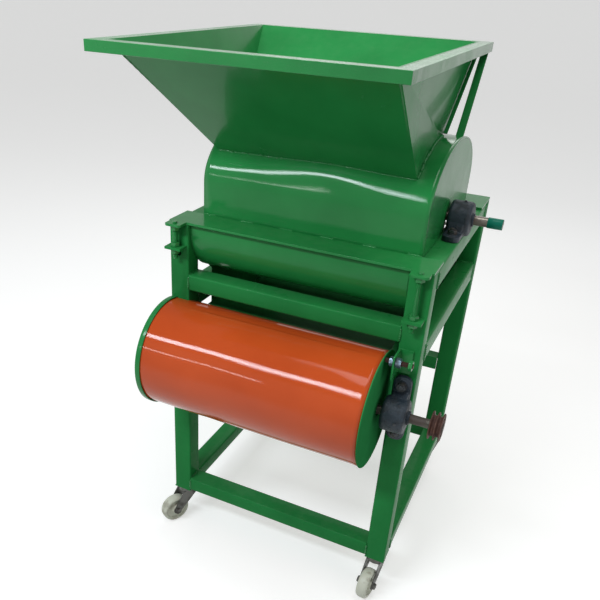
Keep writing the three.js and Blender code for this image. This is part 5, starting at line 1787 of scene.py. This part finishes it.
@dataclass
class Studio:
    """Pale floor, soft lamps and the camera at the photograph's angle."""

    camera_place: Triple = (535.2, -1296.1, 1418.3)
    yaw: float = 24.9
    pitch: float = 29.0
    roll: float = 2.7
    focal_pixels: float = 680.9
    principal: Pair = (258.9, 350.7)
    sensor: float = 36.0
    view_end: float = 100.0
    flat: float = 9.0
    far: float = 22.0
    curl: float = 0.09
    paper_lift: float = 0.54
    world_light: float = 0.26
    lamps: tuple[Lamp, ...] = (
        Lamp("Overhead softbox", (200, -300, 4600), (0, 200, 900), (2.6, 2.2), 76.0),
        Lamp("Key strip", (-970, -1720, 2500), (-970, 100, 700), (1.55, 0.3), 42.0, COLD_WHITE),
        Lamp("Low strip", (-1280, -2300, 1500), (-1280, 100, 700), (0.82, 0.07), 3.0),
        Lamp("Side softbox", (2300, -300, 1600), (0, 100, 700), (1.6, 1.6), 8.0),
        Lamp("Rear softbox", (-400, 2600, 2400), (0, 100, 700), (2.0, 1.2), 14.0),
    )

    def camera(self) -> None:
        """Makes the camera with the photograph's place, angle, lens and shift."""
        data = bpy.data.cameras.new("Photograph camera")
        camera = stand("Photograph camera", data)
        yaw, pitch, roll = (math.radians(value) for value in (self.yaw, self.pitch, self.roll))
        forward = np.array([
            -math.sin(yaw) * math.cos(pitch), math.cos(yaw) * math.cos(pitch), -math.sin(pitch)
        ])
        level = np.array([math.cos(yaw), math.sin(yaw), 0.0])
        up = np.cross(level, forward)
        right = level * math.cos(roll) + up * math.sin(roll)
        above = -level * math.sin(roll) + up * math.cos(roll)
        place = DATUM.place(np.array(self.camera_place))
        camera.matrix_world = facing(right, above, -forward, place)
        data.sensor_width = self.sensor
        data.lens = self.focal_pixels * self.sensor / IMAGE_SIDE
        data.shift_x = (IMAGE_SIDE / 2 - self.principal[0]) / IMAGE_SIDE
        data.shift_y = (self.principal[1] - IMAGE_SIDE / 2) / IMAGE_SIDE
        data.clip_end = self.view_end
        bpy.context.scene.camera = camera

    def floor(self) -> None:
        """Makes the pale floor, which curves up far away all round so that no horizon shows.

        The height is 0 up to the flat radius, then the curl times the square of the way past it.
        """
        distance = np.concatenate([[0.0], np.linspace(self.flat, self.far, 24)])[:, None]
        height = self.curl * np.maximum(distance - self.flat, 0) ** 2
        angle = round_angles(96)[None, :]
        sheet = grid_surface(around(Axis.Z, height, distance, angle, (0.0, 0.0)), False, True)
        mesh = bpy.data.meshes.new("studio_floor")
        mesh.from_pydata(sheet.vertices.tolist(), [], sheet.faces)
        mesh.shade_smooth()
        mesh.materials.append(self.floor_material())
        stand("studio_floor", mesh)

    def floor_material(self) -> bpy.types.Material:
        """Makes the floor's paper: pale, and lifted towards white where it is seen directly.

        Returns:
            The material, whose own shade still carries the shadow.
        """
        made = bpy.data.materials.new("Studio paper")
        made.use_nodes = True
        made.cycles.emission_sampling = "NONE"
        bench = NodeBench(made.node_tree)
        shader = made.node_tree.nodes["Principled BSDF"]
        shader.inputs["Base Color"].default_value = (0.64, 0.64, 0.63, 1.0)
        shader.inputs["Roughness"].default_value = 0.9
        shader.inputs["Specular IOR Level"].default_value = 0.1
        shader.inputs["Emission Color"].default_value = (1.0, 1.0, 0.99, 1.0)
        rays = bench.node("ShaderNodeLightPath").outputs
        seen = bench.math("MAXIMUM", rays["Is Camera Ray"], rays["Is Glossy Ray"])
        seen = bench.math("MAXIMUM", seen, rays["Is Transmission Ray"])
        lift = bench.math("MULTIPLY", seen, self.paper_lift)
        bench.feed(shader.inputs["Emission Strength"], lift)
        return made

    def world(self) -> None:
        """Sets a soft pale world light."""
        world = bpy.data.worlds.new("Studio world")
        world.use_nodes = True
        background = world.node_tree.nodes["Background"]
        background.inputs["Color"].default_value = (0.95, 0.97, 1.0, 1.0)
        background.inputs["Strength"].default_value = self.world_light
        bpy.context.scene.world = world
        bpy.context.scene.view_settings.view_transform = "Standard"

    def build(self) -> None:
        """Sets the whole studio."""
        self.world()
        self.floor()
        self.camera()
        for lamp in self.lamps:
            lamp.build()


def main() -> None:
    """Builds the studio and every sub-assembly."""
    logging.basicConfig(level=logging.INFO, format="%(name)s %(message)s")
    Studio().build()
    for part in (TubeFrame(), Casters(), LowerCasing(), Bearings(), Blower(), Rotor(), Lid()):
        part.build()
        LOG.info("%s built", type(part).__name__)


if __name__ == "__main__":
    main()
